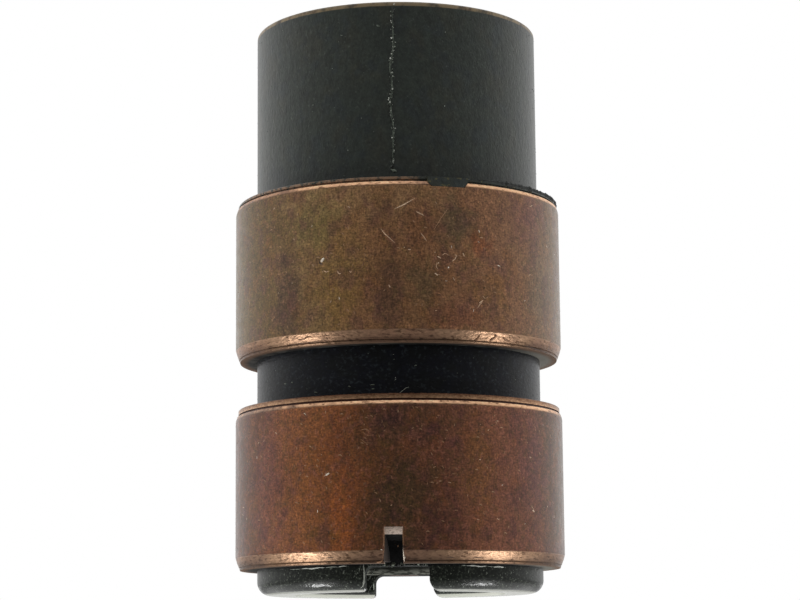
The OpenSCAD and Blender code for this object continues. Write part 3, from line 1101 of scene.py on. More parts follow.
lowerLook = {
    "piece": "lower_ring",
    "node": "lower_slip_ring",
    "slot": "lower_ring_copper",
    "material": "turned copper, red brown skin",
    "facetSize": 0.7,
    "seed": 4.0,
    "foot": lowerFoot,
    "head": lowerHead,
    "trackHead": lowerHead - ringSize["landHeight"],
    "seam": lowerHead - ringSize["landHeight"] + ringSize["seamWidth"] / 2,
    "hues": [
        (0.0, "#563018"),
        (0.08, "#6c3f20"),
        (0.15, "#8e5838"),
        (0.25, "#965c33"),
        (0.35, "#8e522e"),
        (0.43, "#6e4427"),
        (0.52, "#61412b"),
        (0.64, "#734932"),
        (0.77, "#8c5840"),
        (0.88, "#7a4c38"),
        (1.0, "#5c442e"),
    ],
    "drift": 0.35,
    "driftSize": 3.5,
    "stains": [
        # degrees, height, width, height across, strength, hue
        (2, 6, 5.5, 10, 0.6, "#4e3c22"),
        (-9, 11, 3, 5, 0.4, "#7c4e2a"),
        (-18, 6, 2.2, 6, 0.7, "#ac602c"),
        (-2, 13.8, 2.4, 3, 0.6, "#4a2a2c"),
        (-47, 9, 4, 11, 0.5, "#70403a"),
        (-29, 9, 4.5, 6, 0.45, "#8c5424"),
        (-24, 4.5, 3, 2.4, 0.5, "#6c4a20"),
        (30, 9.5, 3, 8, 0.55, "#86582c"),
        (54, 10, 3.5, 8, 0.5, "#6f4444"),
        (15, 5, 4.5, 5, 0.5, "#5c3228"),
        (12, 11.5, 5, 4, 0.45, "#6a3c34"),
        (120, 8, 8, 9, 0.6, "#8a5428"),
        (170, 10, 9, 6, 0.6, "#54382a"),
        (-130, 7, 7, 8, 0.5, "#6e4232"),
    ],
    "clouds": [
        (1.6, 2.4, 0.5, 0.66, 0.4, "#8a522c"),
        (1.2, 1.6, 0.5, 0.66, 0.45, "#5b3636"),
        (0.5, 0.6, 0.5, 0.62, 0.35, "#58431f"),
        (0.38, 0.46, 0.52, 0.62, 0.35, "#96604e"),
    ],
    # fine mottle, then lines round the ring from turning and along it from brushing
    "grains": [
        (0.15, 0.15, 0.55),
        (0.3, 0.12, 0.35),
        (0.12, 0.5, 0.28),
        (0.5, 0.5, 0.14),
        (1.2, 1.8, 0.12),
    ],
    "dullMetal": "#92705a",
    "dullMetallic": 0.4,
    "sawnRoughness": 0.42,
    "goldMetal": "#c09a7c",
    "pinkMetal": "#eebc94",
    # rubbed metal starts at these depths below the brush track
    "wornDepths": (0.01, 0.035),
    "rubbedSize": 1.3,
    "metalClouds": [(0.5, 0.18, 0.52, 0.66, 0.7, "#4c3426")],
    "metalGrains": [(0.3, 0.12, 0.25)],
    # painted shade and highlight: the bevels' outer edges are darkened and their inner ones lightened in
    # the metal's colour
    "lipHeights": (0.2, 0.75),
    "lipPaintedShades": (0.5, 1.1),
    "topDepths": (0.3, 0.12),
    "topPaintedShades": (0.62, 1.25),
    "sawnMetal": "#f0dccc",
    "sawnClouds": [(0.2, 0.2, 0.52, 0.62, 0.5, "#806a5c")],
    "underHue": "#1c1b17",
    "underHeights": (0.03, 0.01),
    "underDust": "#8e8b82",
    "dustedSides": (0.74, 0.96),
    "underClouds": [(1.5, 1.5, 0.5, 0.6, 0.15, "#8e8b82")],
    "underRim": "#7c5e48",
    "underRimRadii": (12.8, 13.4),
    "underRimStrength": 0.85,
    # painted shade deep in the saw slot: its hue, and the radius inside which it shows
    "slotShadeHue": "#100e0c",
    "slotShadeInside": 12.35,
    "landHue": "#e2b48c",
    "landStain": "#7c5640",
    "landClouds": [(0.5, 0.15, 0.45, 0.65, 0.6, "#7c5640")],
    "landGrains": [(0.2, 0.12, 0.4)],
    "seamHue": "#5c2c12",
    # where hands and tools rub the bevels, at the front also where the lamps' highlights fall, so partly a
    # painted highlight: degrees from the front and how far to each side
    "lowArcs": [(-32, 27), (35, 27), (150, 40), (-120, 30)],
    "topArcs": [(-12, 30), (15, 35), (55, 30), (170, 40), (-130, 25)],
    "arcCore": 0.4,
    "arcShine": 0.35,
    "shineRange": (-0.12, 0.38),
    "skinMetallic": 0.25,
    "roughness": 0.3,
    "roughSize": 0.7,
    "roughSpread": 0.05,
    "metalRoughness": 0.33,
    "dirtRoughness": 0.85,
    "reliefs": [(0.3, 0.35, 0.005), (0.16, 0.16, 0.003)],
    "metalReliefs": [(0.5, 0.24, 0.04), (0.2, 0.12, 0.014)],
}


def ringSection(look):
    size = ringSize
    seat = size["seat"]
    foot, head, trackHead = look["foot"], look["head"], look["trackHead"]
    topBevel = trackHead - size["topBevelHeight"]
    low = trackRadius - size["lowBevelDepth"]
    bevelTop = foot + size["lowBevelHeight"]
    facet = size["facet"]
    corners = [
        (seat, foot, 0.5, 0, 0),
        (low - 0.3, foot, 0.08, 0, 0),
        (low - 0.03, foot + 0.01, 0.04, 0, facet / 3),
        (low + 0.02, foot + 0.15, 0.04, 0, facet / 3),
        (low - 0.04, foot + 0.18, 0.04, 0.02, 0),
        (low - 0.04, foot + 0.22, 0.04, 0.02, 0),
        (low + 0.07, foot + 0.26, 0.07, 0.02, facet),
        (trackRadius - 0.13, bevelTop - 0.45, 0.07, size["wander"] * 0.6, facet),
        (trackRadius - 0.035, bevelTop - 0.13, 0.065, size["wander"] * 0.8, facet / 2),
        (trackRadius, bevelTop, 0.1, size["wander"], 0),
        (trackRadius, bevelTop + 1, 0.5, 0, 0),
        (trackRadius, topBevel - 0.6, 0.12, 0, 0),
        (trackRadius, topBevel - 0.1, 0.06, size["topWander"], 0),
        (trackRadius - 0.025, topBevel + 0.05, 0.06, size["topWander"], 0),
        (trackRadius - size["topBevelDepth"], trackHead, 0.1, size["topWander"] / 2, facet),
    ]
    if head > trackHead:
        seam = trackRadius - size["seamDepth"]
        land = trackRadius - size["landInset"]
        corners += [
            (seam, trackHead, 0.05, 0, 0),
            (seam, trackHead + size["seamWidth"], 0.1, 0, 0),
            (land, trackHead + size["seamWidth"], 0.08, 0.02, facet / 2),
            (land, head - 0.05, 0.05, 0, facet / 2),
            (land - 0.05, head, 0.4, 0, 0),
        ]
    middle = (foot + trackHead) / 2
    root = seat + size["dovetailDepth"]
    corners += [
        (seat, head, 1, 0, 0),
        (seat, middle + size["dovetailMouth"] / 2, 0.5, 0, 0),
        (root, middle + size["dovetailRoot"] / 2, 0.9, 0, 0),
        (root, middle - size["dovetailRoot"] / 2, 0.5, 0, 0),
        (seat, middle - size["dovetailMouth"] / 2, 1, 0, 0),
    ]
    return halfSection("ring section", corners)


def sawDisc():
    radius = wireSlot["sawRadius"]
    topZ = lowerFoot + wireSlot["height"]
    centreZ = topZ - math.sqrt(radius ** 2 - wireSlot["sawOutside"] ** 2)
    disc = bmesh.new()
    size = {"radius1": radius * mm, "radius2": radius * mm, "depth": wireSlot["width"] * mm}
    bmesh.ops.create_cone(disc, cap_ends=True, segments=360, **size)
    place = Matrix.Translation(around(0, ringRadius + wireSlot["sawOutside"], centreZ))
    bmesh.ops.transform(disc, matrix=place @ Matrix.Rotation(math.pi / 2, 4, "Y"), verts=disc.verts)
    return linkShape("saw", disc)


def makeRing(look, cutter):
    ring = runTree(look["piece"], turnedOneCut, ringSection(look), {
        "Segments": ringSize["segments"],
        "Wander size": ringSize["wanderSize"],
        "Facet size": look["facetSize"],
        "Seed": look["seed"],
        "Cut 0": cutter,
        "Material": copperPatina(look),
    })
    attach(ring, "root")
    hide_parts(look["node"])


saw = sawDisc()
makeRing(lowerLook, saw)


# Upper ring, with the keying notch in its upper edge

keyNotch = {
    "width": 3.5,
    "depth": 0.4,
    "lean": 0.3,
    "turn": 19.5,
    "cutLength": 7,
}

upperLook = dict(lowerLook)
upperLook.update({
    "piece": "upper_ring",
    "node": "upper_slip_ring",
    "slot": "upper_ring_copper",
    "material": "turned copper, olive brown skin",
    "facetSize": 0.9,
    "seed": 11.0,
    "foot": upperFoot,
    "head": upperHead,
    "trackHead": upperHead,
    "seam": upperHead + 1,  # out of reach, because this ring has none
    "dullMetal": "#9a745c",
    # rubbed arcs on the top bevel, partly a painted highlight as on the lower ring
    "topArcs": [(-14, 28), (32, 20), (58, 35), (160, 40), (-130, 25)],
    "hues": [
        (0.0, "#6c5832"),
        (0.12, "#6e5632"),
        (0.24, "#8a6d48"),
        (0.35, "#997648"),
        (0.43, "#946a46"),
        (0.5, "#916846"),
        (0.6, "#946a47"),
        (0.77, "#966b4c"),
        (0.88, "#8a6448"),
        (1.0, "#745a3a"),
    ],
    "stains": [
        (-38, 23.8, 2.8, 7, 0.8, "#604838"),
        (-6, 30, 6, 6, 0.4, "#a4784e"),
        (-10, 31.8, 16, 3.4, 0.5, "#b08a62"),
        (-27, 30, 5, 4, 0.5, "#7c7040"),
        (-1, 23.5, 2.4, 8, 0.6, "#5c4034"),
        (10, 28.9, 3, 6, 0.45, "#88583a"),
        (22, 29.5, 3.6, 4, 0.6, "#55503a"),
        (31, 28, 2.2, 2, 0.55, "#95532f"),
        (54, 31, 5, 4.5, 0.5, "#80504a"),
        (11, 24.4, 3, 4, 0.5, "#5e5238"),
        (23, 22, 4.5, 3, 0.5, "#7a4634"),
        (60, 25, 4, 8, 0.4, "#6f6450"),
        (-18, 24, 4, 5, 0.4, "#8c6a34"),
        (35, 24, 4, 4, 0.4, "#86602f"),
        (120, 26, 8, 9, 0.5, "#7a5a3c"),
        (170, 27, 9, 6, 0.6, "#5e4a38"),
        (-130, 25, 7, 8, 0.5, "#746a44"),
    ],
    "clouds": [
        (1.6, 2.4, 0.5, 0.66, 0.35, "#86582f"),
        (1.2, 1.6, 0.5, 0.66, 0.45, "#684440"),
        (0.5, 0.6, 0.52, 0.64, 0.25, "#665a30"),
        (0.38, 0.46, 0.54, 0.64, 0.25, "#966650"),
    ],
})


def notchPrism():
    half = keyNotch["width"] / 2
    outline = [
        (-half + keyNotch["lean"], -keyNotch["depth"]),
        (half - keyNotch["lean"], -keyNotch["depth"]),
        (half, 0),
        (half, 1),
        (-half, 1),
        (-half, 0),
    ]
    spin = Matrix.Rotation(math.radians(keyNotch["turn"]), 4, "Z")
    place = spin @ Matrix.Translation(around(0, ringRadius, upperHead))
    return solidFromOutline("notch", outline, keyNotch["cutLength"], place)


notch = notchPrism()
makeRing(upperLook, notch)
bpy.data.objects.remove(notch)


# Moulded body: sleeve, collar, neck and feet in one piece

bodySize = {
    "radius": 12.15,
    "bore": 8.5,
    "boreChamfer": 0.5,
    "rimRound": 0.2,
    "footRound": 1.1,
    "feetHeight": 2.0,
    "gapWidth": 5.2,
    "leftFillet": 0.7,
    "rightFillet": 0.2,
    "leftRound": 0.3,
    "rightRound": 0.9,
    "mouldGap": 0.01,
    "collarHeight": 0.4,
    "gapShift": 0.08,
    "gapLean": -0.0075,
    "gapLength": 27,
    "pocketMouth": 0.5,
    "rimBand": 0.42,
    "skinSplit": upperFoot + 1,  # behind the upper ring, where the moulded skin ends
    "segments": 720,
    "wanderSize": 1.2,
    "facetSize": 0.5,
    "seed": 7.0,
}

sleeveLook = {
    "material": "moulded phenolic, greenish black",
    "hue": "#2e342d",
    "boreHue": "#3c3d37",
    "boreClouds": [(0.8, 0.2, 0.46, 0.56, 0.8, "#30322b")],
    # painted light from below: the bore's open end, its chamfer and the soles are pale
    "boreEndPaintedLightHue": "#d4d6c8",
    "chamferPaintedLightHue": "#e4e6d8",
    "solePaintedLightHue": "#b4b6aa",
    # from and to where each of these fades, in millimetres of height
    "boreEndFade": (0.1, 0.6),
    "chamferFade": (0.3, 0.22),
    "soleFade": (0.14, 0.05),
    "rubbedFade": (0.01, 0.1),
    "edgeFade": (0.62, 0.78),
    "rimFade": 0.08,
    "scuffFade": 0.2,
    # where the copper smeared over the collar fades in and out, in radians from the front
    "smearStart": (-1.3, -1.1),
    "smearEnd": (0.18, 0.12),
    "smearSize": 0.4,
    "smearPatches": (0.36, 0.52),
    "smearHue": "#94745a",
    "fleckPatches": (0.58, 0.64),
    "fleckHue": "#595638",
    "wearSize": 0.9,
    "wearPatches": (0.3, 0.5, 0.25),
    "rubbedRelief": 0.06,
    "clouds": [
        (4, 6, 0.4, 0.6, 0.6, "#2a322c"),
        (2, 2.6, 0.48, 0.66, 0.6, "#34352a"),
        (1.3, 1.6, 0.5, 0.66, 0.6, "#272f30"),
        (0.22, 0.3, 0.6, 0.7, 0.6, "#4a5048"),
    ],
    "grains": [(0.2, 0.24, 0.35), (0.7, 0.8, 0.3)],
    "rimHue": "#927f60",
    "rimClouds": [(0.9, 0.9, 0.5, 0.65, 0.8, "#503c2c")],
    # the saw cut painted near-black as shade
    "sawnShadeHue": "#060606",
    "scuffHue": "#1c201b",
    "scuffs": [(0.22, 0.22, 0.5, 0.66, 0.7, "#4a5046"), (0.16, 0.16, 0.6, 0.68, 0.8, "#8a9084")],
    "reliefs": [(0.35, 0.6, 0.04), (0.13, 0.25, 0.024)],
    "roughness": 0.36,
    "edgeRoughness": 0.36,
    "rawRoughness": 0.85,
    "ior": 1.55,
    "edgeIor": 1.55,
}

footLook = dict(sleeveLook)
footLook.update({
    "material": "moulded phenolic, black moulded skin",
    "hue": "#0e1018",
    "clouds": [
        (1.6, 1.6, 0.45, 0.62, 0.5, "#131511"),
        (0.3, 0.24, 0.54, 0.66, 0.45, "#3c4448"),
    ],
    "grains": [(0.2, 0.2, 0.6), (0.9, 0.9, 0.3)],
    "reliefs": [(0.5, 0.2, 0.03), (0.2, 0.12, 0.014)],
    "roughness": 0.34,
    "edgeRoughness": 0.2,
    "ior": 1.3,
    "edgeIor": 1.5,
})


def bodySection():
    size = bodySize
    outer = size["radius"]
    seat = ringSize["seat"] - size["mouldGap"]
    rib = ringSize["seat"] + ringSize["dovetailDepth"] - size["mouldGap"]
    mouth = ringSize["dovetailMouth"] / 2 - size["mouldGap"]
    root = ringSize["dovetailRoot"] / 2 - size["mouldGap"]
    footRound = size["footRound"]
    rim = size["rimRound"]
    collar = upperHead + size["mouldGap"]
    collarTop = collar + size["collarHeight"]
    land = ringRadius - ringSize["landInset"]
    seam = ringRadius - ringSize["seamDepth"]
    lowArc = arcPoints(outer - footRound, footRound, footRound, -90, 0, 12)
    corners = [(x, z, 0.2, 0, 0) for x, z in lowArc]
    for foot, head, trackHead in (
        (lowerFoot, lowerHead, lowerHead - ringSize["landHeight"]),
        (upperFoot, upperHead, upperHead),
    ):
        middle = (foot + trackHead) / 2
        top = head + size["mouldGap"]
        corners += [
            (outer, foot - size["mouldGap"], 0.6, 0, 0),
            (seat, foot - size["mouldGap"], 3, 0, 0),
            (seat, middle - mouth, 1, 0, 0),
            (rib, middle - root, 4, 0, 0),
            (rib, middle + root, 1, 0, 0),
            (seat, middle + mouth, 3, 0, 0),
        ]
        if head == lowerHead:
            corners += [(seat, top, 0.6, 0, 0), (outer, top, 0.4, 0, 0)]
    corners += [
        (seat, collar, 0.5, 0, 0),
        (seam, collar, 0.05, 0, 0),
        (seam, collar + ringSize["seamWidth"], 0.08, 0, 0),
        (land, collar + ringSize["seamWidth"], 0.06, 0.03, 0.03),
        (land, collarTop - 0.06, 0.04, 0.02, 0.04),
        (land - 0.06, collarTop, 0.3, 0, 0),
        (outer + 0.1, collarTop, 0.05, 0, 0),
        (outer, collarTop + 0.1, 0.5, 0, 0),
        (outer, totalHeight - 1, 0.1, 0, 0),
        (outer, totalHeight - rim - 0.1, 0.05, 0, 0.03),
    ]
    corners += [(x, z, 0.04, 0, 0.05) for x, z in arcPoints(outer - rim, totalHeight - rim, rim, 0, 90, 4)]
    corners += [
        (outer - rim - 0.2, totalHeight, 3, 0, 0),
        (size["bore"] + size["boreChamfer"], totalHeight, 1, 0, 0),
        (size["bore"], totalHeight - size["boreChamfer"], 60, 0, 0),
        (size["bore"], size["feetHeight"] + 1, 60, 0, 0),
        (size["bore"], size["boreChamfer"], 1, 0, 0),
        (size["bore"] + size["boreChamfer"], 0, 3, 0, 0),
    ]
    return halfSection("body section", corners)


def keyBlock():
    # The moulding that fills the upper ring's notch, its outer face on the ring's radius
    half = keyNotch["width"] / 2 - bodySize["mouldGap"]
    low = upperHead - keyNotch["depth"] + bodySize["mouldGap"]
    high = upperHead + bodySize["collarHeight"]
    inner = 11.8  # within the sleeve's wall
    columns = 16
    rows = []
    for k in range(columns + 1):
        across = half * (2 * k / columns - 1)
        slant = max(0, abs(across) - half + keyNotch["lean"]) / keyNotch["lean"]
        foot = low + (upperHead - low) * slant
        outer = math.sqrt(trackRadius ** 2 - across ** 2)
        section = ((inner, foot), (outer, foot), (outer - 0.03, high), (inner, high))
        rows.append([(across, -reach, z) for reach, z in section])
    return solidFromRows("key", rows, Matrix.Rotation(math.radians(keyNotch["turn"]), 4, "Z"))


def gapPrism():
    size = bodySize
    half = size["gapWidth"] / 2
    top = size["feetHeight"]
    rightRound, rightFillet = size["rightRound"], size["rightFillet"]
    leftRound, leftFillet = size["leftRound"], size["leftFillet"]
    outline = [(half + rightRound, -1)]
    outline += arcPoints(half + rightRound, rightRound, rightRound, 270, 180, 10)
    outline += arcPoints(half - rightFillet, top - rightFillet, rightFillet, 0, 90, 5)
    outline += arcPoints(-half + leftFillet, top - leftFillet, leftFillet, 90, 180, 8)
    outline += arcPoints(-half - leftRound, leftRound, leftRound, 0, -90, 6)
    outline += [(-half - leftRound, -1)]
    place = Matrix.Translation((size["gapShift"] * mm, 0, 0))
    place[0][1] = size["gapLean"]
    return solidFromOutline("gap", outline, size["gapLength"], place)


def leadPocket():
    # The strip's own shape, grown a little and open at the end face
    pocket = bmesh.new()
    pocket.from_mesh(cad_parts["upper_ring_lead"].data)
    bmesh.ops.remove_doubles(pocket, verts=pocket.verts, dist=0.001 * mm)
    pocket.normal_update()
    for vert in pocket.verts:
        vert.co += vert.normal * bodySize["mouldGap"] * mm
        if vert.co.z < (bodySize["feetHeight"] + 0.1) * mm:
            vert.co.z -= bodySize["pocketMouth"] * mm
    return linkShape("pocket", pocket)


def makeBody(saw):
    tools = {
        "Add 0": keyBlock(),
        "Cut 1": gapPrism(),
        "Cut 2": saw,
        "Cut 3": leadPocket(),
    }
    body = runTree("phenolic_body", turnedBody, bodySection(), {
        "Segments": bodySize["segments"],
        "Wander size": bodySize["wanderSize"],
        "Facet size": bodySize["facetSize"],
        "Seed": bodySize["seed"],
        "Material": mouldedPhenolic(sleeveLook),
        "Lower material": mouldedPhenolic(footLook),
        "Split": bodySize["skinSplit"] * mm,
        **tools,
    })
    for tool in tools.values():
        bpy.data.objects.remove(tool)
    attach(body, "root")
    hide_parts("moulded_body")


makeBody(saw)


# Wear on the brush tracks: short curved ticks all over, longer scratches and nicks in their places; their
# lightest tones are partly painted glints of bare metal, and some marks paint shade in the bevel's creases
# and highlight along the slot's edge

ticks = {
    "length": 0.24,
    "width": 0.06,
    "bend": 0.03,
    "perMm2": 4.2,
    "patchSize": 2.2,
    "smallest": 0.4,
    "largest": 1.4,
    "margin": 0.2,
    "slotMargin": 0.25,
    "roughness": 0.45,
    "metallic": 0.15,
    # the lightest tones stand partly for the glint of bare metal: painted highlight
    "tones": [
        (0.0, "#3c2a20"),
        (0.25, "#7c583e"),
        (0.7, "#a07656"),
        (0.96, "#ba9270"),
        (1.0, "#fff0dc"),
    ],
}

scratches = {
    "widening": 1.4,
    "sunk": 0.012,
    "roughness": 0.45,
    "metallic": 0.15,
    # the lightest tones stand partly for the glint of bare metal: painted highlight
    "tones": [
        (0.0, "#3c2a20"),
        (0.25, "#7c583e"),
        (0.5, "#a87c5a"),
        (0.7, "#cca280"),
        (0.85, "#e8c6a4"),
        (1.0, "#fff0dc"),
    ],
}

upperMarks = {
    # width in millimetres, tone, then pixels of the photo
    "white nick": (0.15, 1.0, [(320.6, 262.6), (324.6, 257.4)]),
    "nick's dark edge": (0.07, 0.0, [(318.6, 258), (319.6, 263.4), (324, 264.4)]),
    "curl by the nick": (0.06, 0.75, [(323, 270), (326, 272), (330, 271)]),
    "second curl": (0.06, 0.75, [(337, 270), (339, 274), (342, 273)]),
    "third curl": (0.06, 0.7, [(349, 270), (351, 273), (352, 270)]),
    "long scratch left of the middle": (0.065, 0.75, [(380, 227.5), (385, 234), (396, 244)]),
    "scratch up to the right": (0.075, 0.85, [(393, 209.5), (403, 205), (416, 197.5)]),
    "short scratch": (0.06, 0.8, [(415, 211), (419, 213), (425, 216)]),
    "scratch down to the right": (0.055, 0.75, [(420, 232), (424, 237), (427, 242)]),
    "tick below it": (0.05, 0.55, [(412, 220), (416, 223)]),
    "faint slanting line": (0.055, 0.52, [(449, 207), (441, 218), (433, 231)]),
    "cluster nick": (0.1, 1.0, [(447, 268), (450, 267)]),
    "cluster tick high": (0.05, 0.8, [(454, 254), (458, 257)]),
    "cluster tick left": (0.05, 0.75, [(437, 262), (436, 266), (438, 270)]),
    "cluster curl": (0.05, 0.8, [(451, 262), (455, 259), (457, 255)]),
    "cluster tick low": (0.05, 0.7, [(436, 274), (441, 275)]),
    "cluster small curl": (0.05, 0.7, [(441, 256), (445, 253), (450, 256)]),
    "tick far right": (0.05, 0.85, [(528, 276), (531, 274)]),
    "tick under the bevel": (0.05, 0.85, [(529, 207), (533, 205)]),
    "low curl": (0.05, 0.8, [(388, 284), (391, 288)]),
    "low tick": (0.05, 0.6, [(434, 311), (438, 310)]),
    "low cluster": (0.05, 0.75, [(477, 309), (480, 304), (483, 302)]),
    "low cluster second": (0.04, 0.65, [(485, 299), (489, 296)]),
    "dash left of the cluster": (0.06, 0.82, [(402.5, 247), (406, 247.5)]),
    "longer dash below it": (0.06, 0.78, [(407, 249.3), (412, 249.7)]),
    "third dash": (0.05, 0.7, [(405, 253.8), (408, 254)]),
    "tick over the cluster": (0.06, 0.8, [(434, 251), (436, 253.5)]),
    "slanting tick in it": (0.06, 0.85, [(436.5, 256), (439, 257), (441.5, 259)]),
    "flat tick in it": (0.07, 0.88, [(436.7, 263.2), (440, 262.8)]),
    "tick under it": (0.06, 0.88, [(434, 272.4), (438.5, 276)]),
    "speck to its left": (0.08, 0.88, [(416.2, 270.4), (417.2, 272)]),
    "hook right of it": (0.06, 0.8, [(462.5, 252), (463.5, 255), (465, 257.5)]),
    "tick right and low": (0.05, 0.78, [(452.5, 276.5), (455, 281.5)]),
    "tick on the red patch": (0.05, 0.6, [(483, 247), (486, 250)]),
    "upright tick": (0.04, 0.6, [(494.7, 234), (497, 241)]),
    "short upright tick": (0.04, 0.6, [(519, 231), (520, 235)]),
    "slanting pair, upper": (0.06, 0.8, [(478.6, 303.4), (483.7, 300)]),
    "slanting pair, lower": (0.05, 0.75, [(482, 295), (485.5, 299.5)]),
    "tick low at the left": (0.04, 0.55, [(432.3, 303.5), (436, 307)]),
    "tick low in the middle": (0.04, 0.6, [(462, 292), (465, 291)]),
    "tick near the bevel": (0.04, 0.55, [(508, 318), (511, 316)]),
    # the creases' darker tones paint the shade between the bevel's facets
    "crease in the bevel": (0.14, 0.46, [(480, 335), (478, 338), (475, 341)]),
    "second crease": (0.16, 0.42, [(497, 335), (494, 338), (489, 341)]),
    "third crease": (0.16, 0.45, [(502, 337), (506, 340), (511, 342)]),
    "fourth crease": (0.12, 0.4, [(519, 341), (515, 343)]),
    "crease at the left": (0.12, 0.42, [(309, 336), (304, 339), (297, 340)]),
    "line under the left gold": (0.07, 0.2, [(286, 345), (300, 343.5), (318, 341), (335, 340)]),
    "dark line in the middle": (0.08, 0.15, [(352, 338.5), (372, 338), (395, 338.5), (412, 337.5)]),
    "line at the right end": (0.08, 0.05, [(522, 345), (536, 349), (548, 353)]),
}

lowerMarks = {
    "bright nick": (0.1, 1.0, [(325, 475.8), (330, 472.8)]),
    "tail of the nick": (0.05, 0.7, [(323, 477), (326, 475)]),
    "tick high left": (0.05, 0.75, [(320, 455), (323, 454)]),
    "tick beside it": (0.05, 0.7, [(322, 461), (324, 462)]),
    "tick low left": (0.05, 0.75, [(310, 502), (313, 503)]),
    "tick far left": (0.05, 0.7, [(263, 442), (265, 440)]),
    "wide arc": (0.04, 0.5, [(359, 438), (366, 443), (375, 443)]),
    "arc inside it": (0.04, 0.45, [(361, 431), (368, 436), (376, 434)]),
    "top of the arc": (0.05, 0.5, [(360, 430), (366, 429), (371, 432)]),
    "line across": (0.03, 0.5, [(300, 455), (312, 454), (326, 455)]),
    "curve right of the middle": (0.05, 0.8, [(496, 420), (499, 422)]),
    "tick right of the middle": (0.05, 0.7, [(479, 425), (482, 424)]),
    "second tick": (0.05, 0.75, [(487, 431), (490, 429)]),
    "short tick": (0.05, 0.7, [(444, 439), (447, 438)]),
    "tick by the dark band": (0.04, 0.6, [(432, 468), (437, 466)]),
    "pair, left": (0.05, 0.7, [(438, 481), (443, 481)]),
    "pair, right": (0.05, 0.7, [(447, 482), (452, 483)]),
    "tick in the gold": (0.05, 0.75, [(478, 460), (482, 459)]),
    "tick far right": (0.05, 0.85, [(529, 457), (532, 458)]),
    "long tick far right": (0.05, 0.8, [(531, 505), (534, 511)]),
    "bright tick far right": (0.07, 0.9, [(532, 510), (535, 512)]),
    "tick low right": (0.05, 0.75, [(496, 518), (500, 520)]),
    "tick lower right": (0.05, 0.7, [(476, 519), (480, 520)]),
    "curve high right": (0.04, 0.6, [(533, 424), (536, 429), (534, 433)]),
    "nick by the slot": (0.08, 1.0, [(380, 549), (383, 550)]),
    # the right edge's marks paint its highlight: darker high up, bright at its foot and on the burr
    "slot's right edge": (0.05, 0.4, [(402.7, 527), (403, 537), (403.3, 546)]),
    "its bright foot": (0.06, 1.0, [(403.2, 547), (403.5, 553), (404.3, 562)]),
    "burr on that edge": (0.14, 1.0, [(404, 556), (404.6, 559)]),
    "slot's left edge": (0.09, 0.36, [(383.6, 527), (383.7, 540), (383.5, 552), (383, 560)]),
    "torn edge at the left": (0.1, 0.47, [(383, 560), (380, 562), (376, 562.5)]),
    "bevel's middle line, left": (0.06, 0.0, [(288, 560), (306, 558.5), (330, 557.5), (352, 557)]),
    "bevel's middle line, right": (0.06, 0.0, [(428, 556.5), (450, 557), (478, 557.5), (505, 558.5)]),
}


def onRing(pixel, foot):
    # On the brush track, or on the scraped bevel below it where the pixel lies that low
    radius = trackRadius
    for _ in range(4):
        place = onPart(pixel, radius - scratches["sunk"])
        rise = min(1, max(0, (place.z / mm - foot) / ringSize["lowBevelHeight"]))
        radius = trackRadius - ringSize["lowBevelDepth"] * (1 - rise)
    return place


def markRing(look, marks, seed):
    foot = look["foot"]
    low = foot + ringSize["lowBevelHeight"] + ticks["margin"]
    high = look["trackHead"] - ringSize["topBevelHeight"] - ticks["margin"]
    sliver = sliverShape("sliver", ticks["length"], ticks["width"], ticks["bend"])
    field = runTree(look["piece"] + "_ticks", scattered, bandMesh("track", trackRadius, low, high), {
        "Shape": sliver,
        "Density": ticks["perMm2"],
        "Patch size": ticks["patchSize"],
        "Smallest": ticks["smallest"],
        "Largest": ticks["largest"],
        "Clear width": (wireSlot["width"] / 2 + ticks["slotMargin"]) * mm,
        "Clear head": (lowerFoot + wireSlot["height"] + ticks["slotMargin"]) * mm,
        "Seed": seed,
        "Material": tonedFinish("scuffed copper", ticks),
    })
    bpy.data.objects.remove(sliver)
    lines = []
    for width, tone, pixels in marks.values():
        places = [onRing(pixel, foot) for pixel in pixels]
        lines.append((width * scratches["widening"], tone, places))
    drawn = runTree(look["piece"] + "_scratches", marked, linesMesh("marks", lines), {
        "Material": tonedFinish("scratched copper", scratches),
    })
    for piece in (field, drawn):
        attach(piece, "root")


markRing(upperLook, upperMarks, 5)
markRing(lowerLook, lowerMarks, 9)


# Copper smeared by the saw into the slot, a wedge along its left wall, its tones painting light and shade
# on it

slotBurr = {
    "corners": [
        # across and up from the slot's foot, then how light, which paints light and shade
        (-0.8, 2.25, 0.4),
        (-0.66, 2.25, 0.1),
        (-0.5, 1.7, 0.0),
        (-0.36, 0.9, 0.0),
        (-0.3, 0.1, 0.05),
        (-0.8, 0.1, 0.5),
    ],
    "depth": 0.55,
    "front": 13.62,
    "roughness": 0.5,
    "metallic": 0.15,
    "tones": [(0.0, "#141210"), (0.5, "#6e6058"), (1.0, "#b0a498")],
}


def smearSlot():
    outline = [(across, lowerFoot + up) for across, up, tone in slotBurr["corners"]]
    place = Matrix.Translation(around(0, slotBurr["front"], 0))
    burr = solidFromOutline("slot_burr", outline, slotBurr["depth"], place)
    tones = [tone for across, up, tone in slotBurr["corners"]] * 2
    setValues(burr.data, "tone", tones)
    burr.data.materials.append(tonedFinish("smeared copper, painted light and shade", slotBurr))
    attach(burr, "root")


smearSlot()


# Flash left on the mould's parting line, with crumbs beside it, and dust on the moulding; some light
# strands paint highlights, on the left foot's edge and under the lower ring

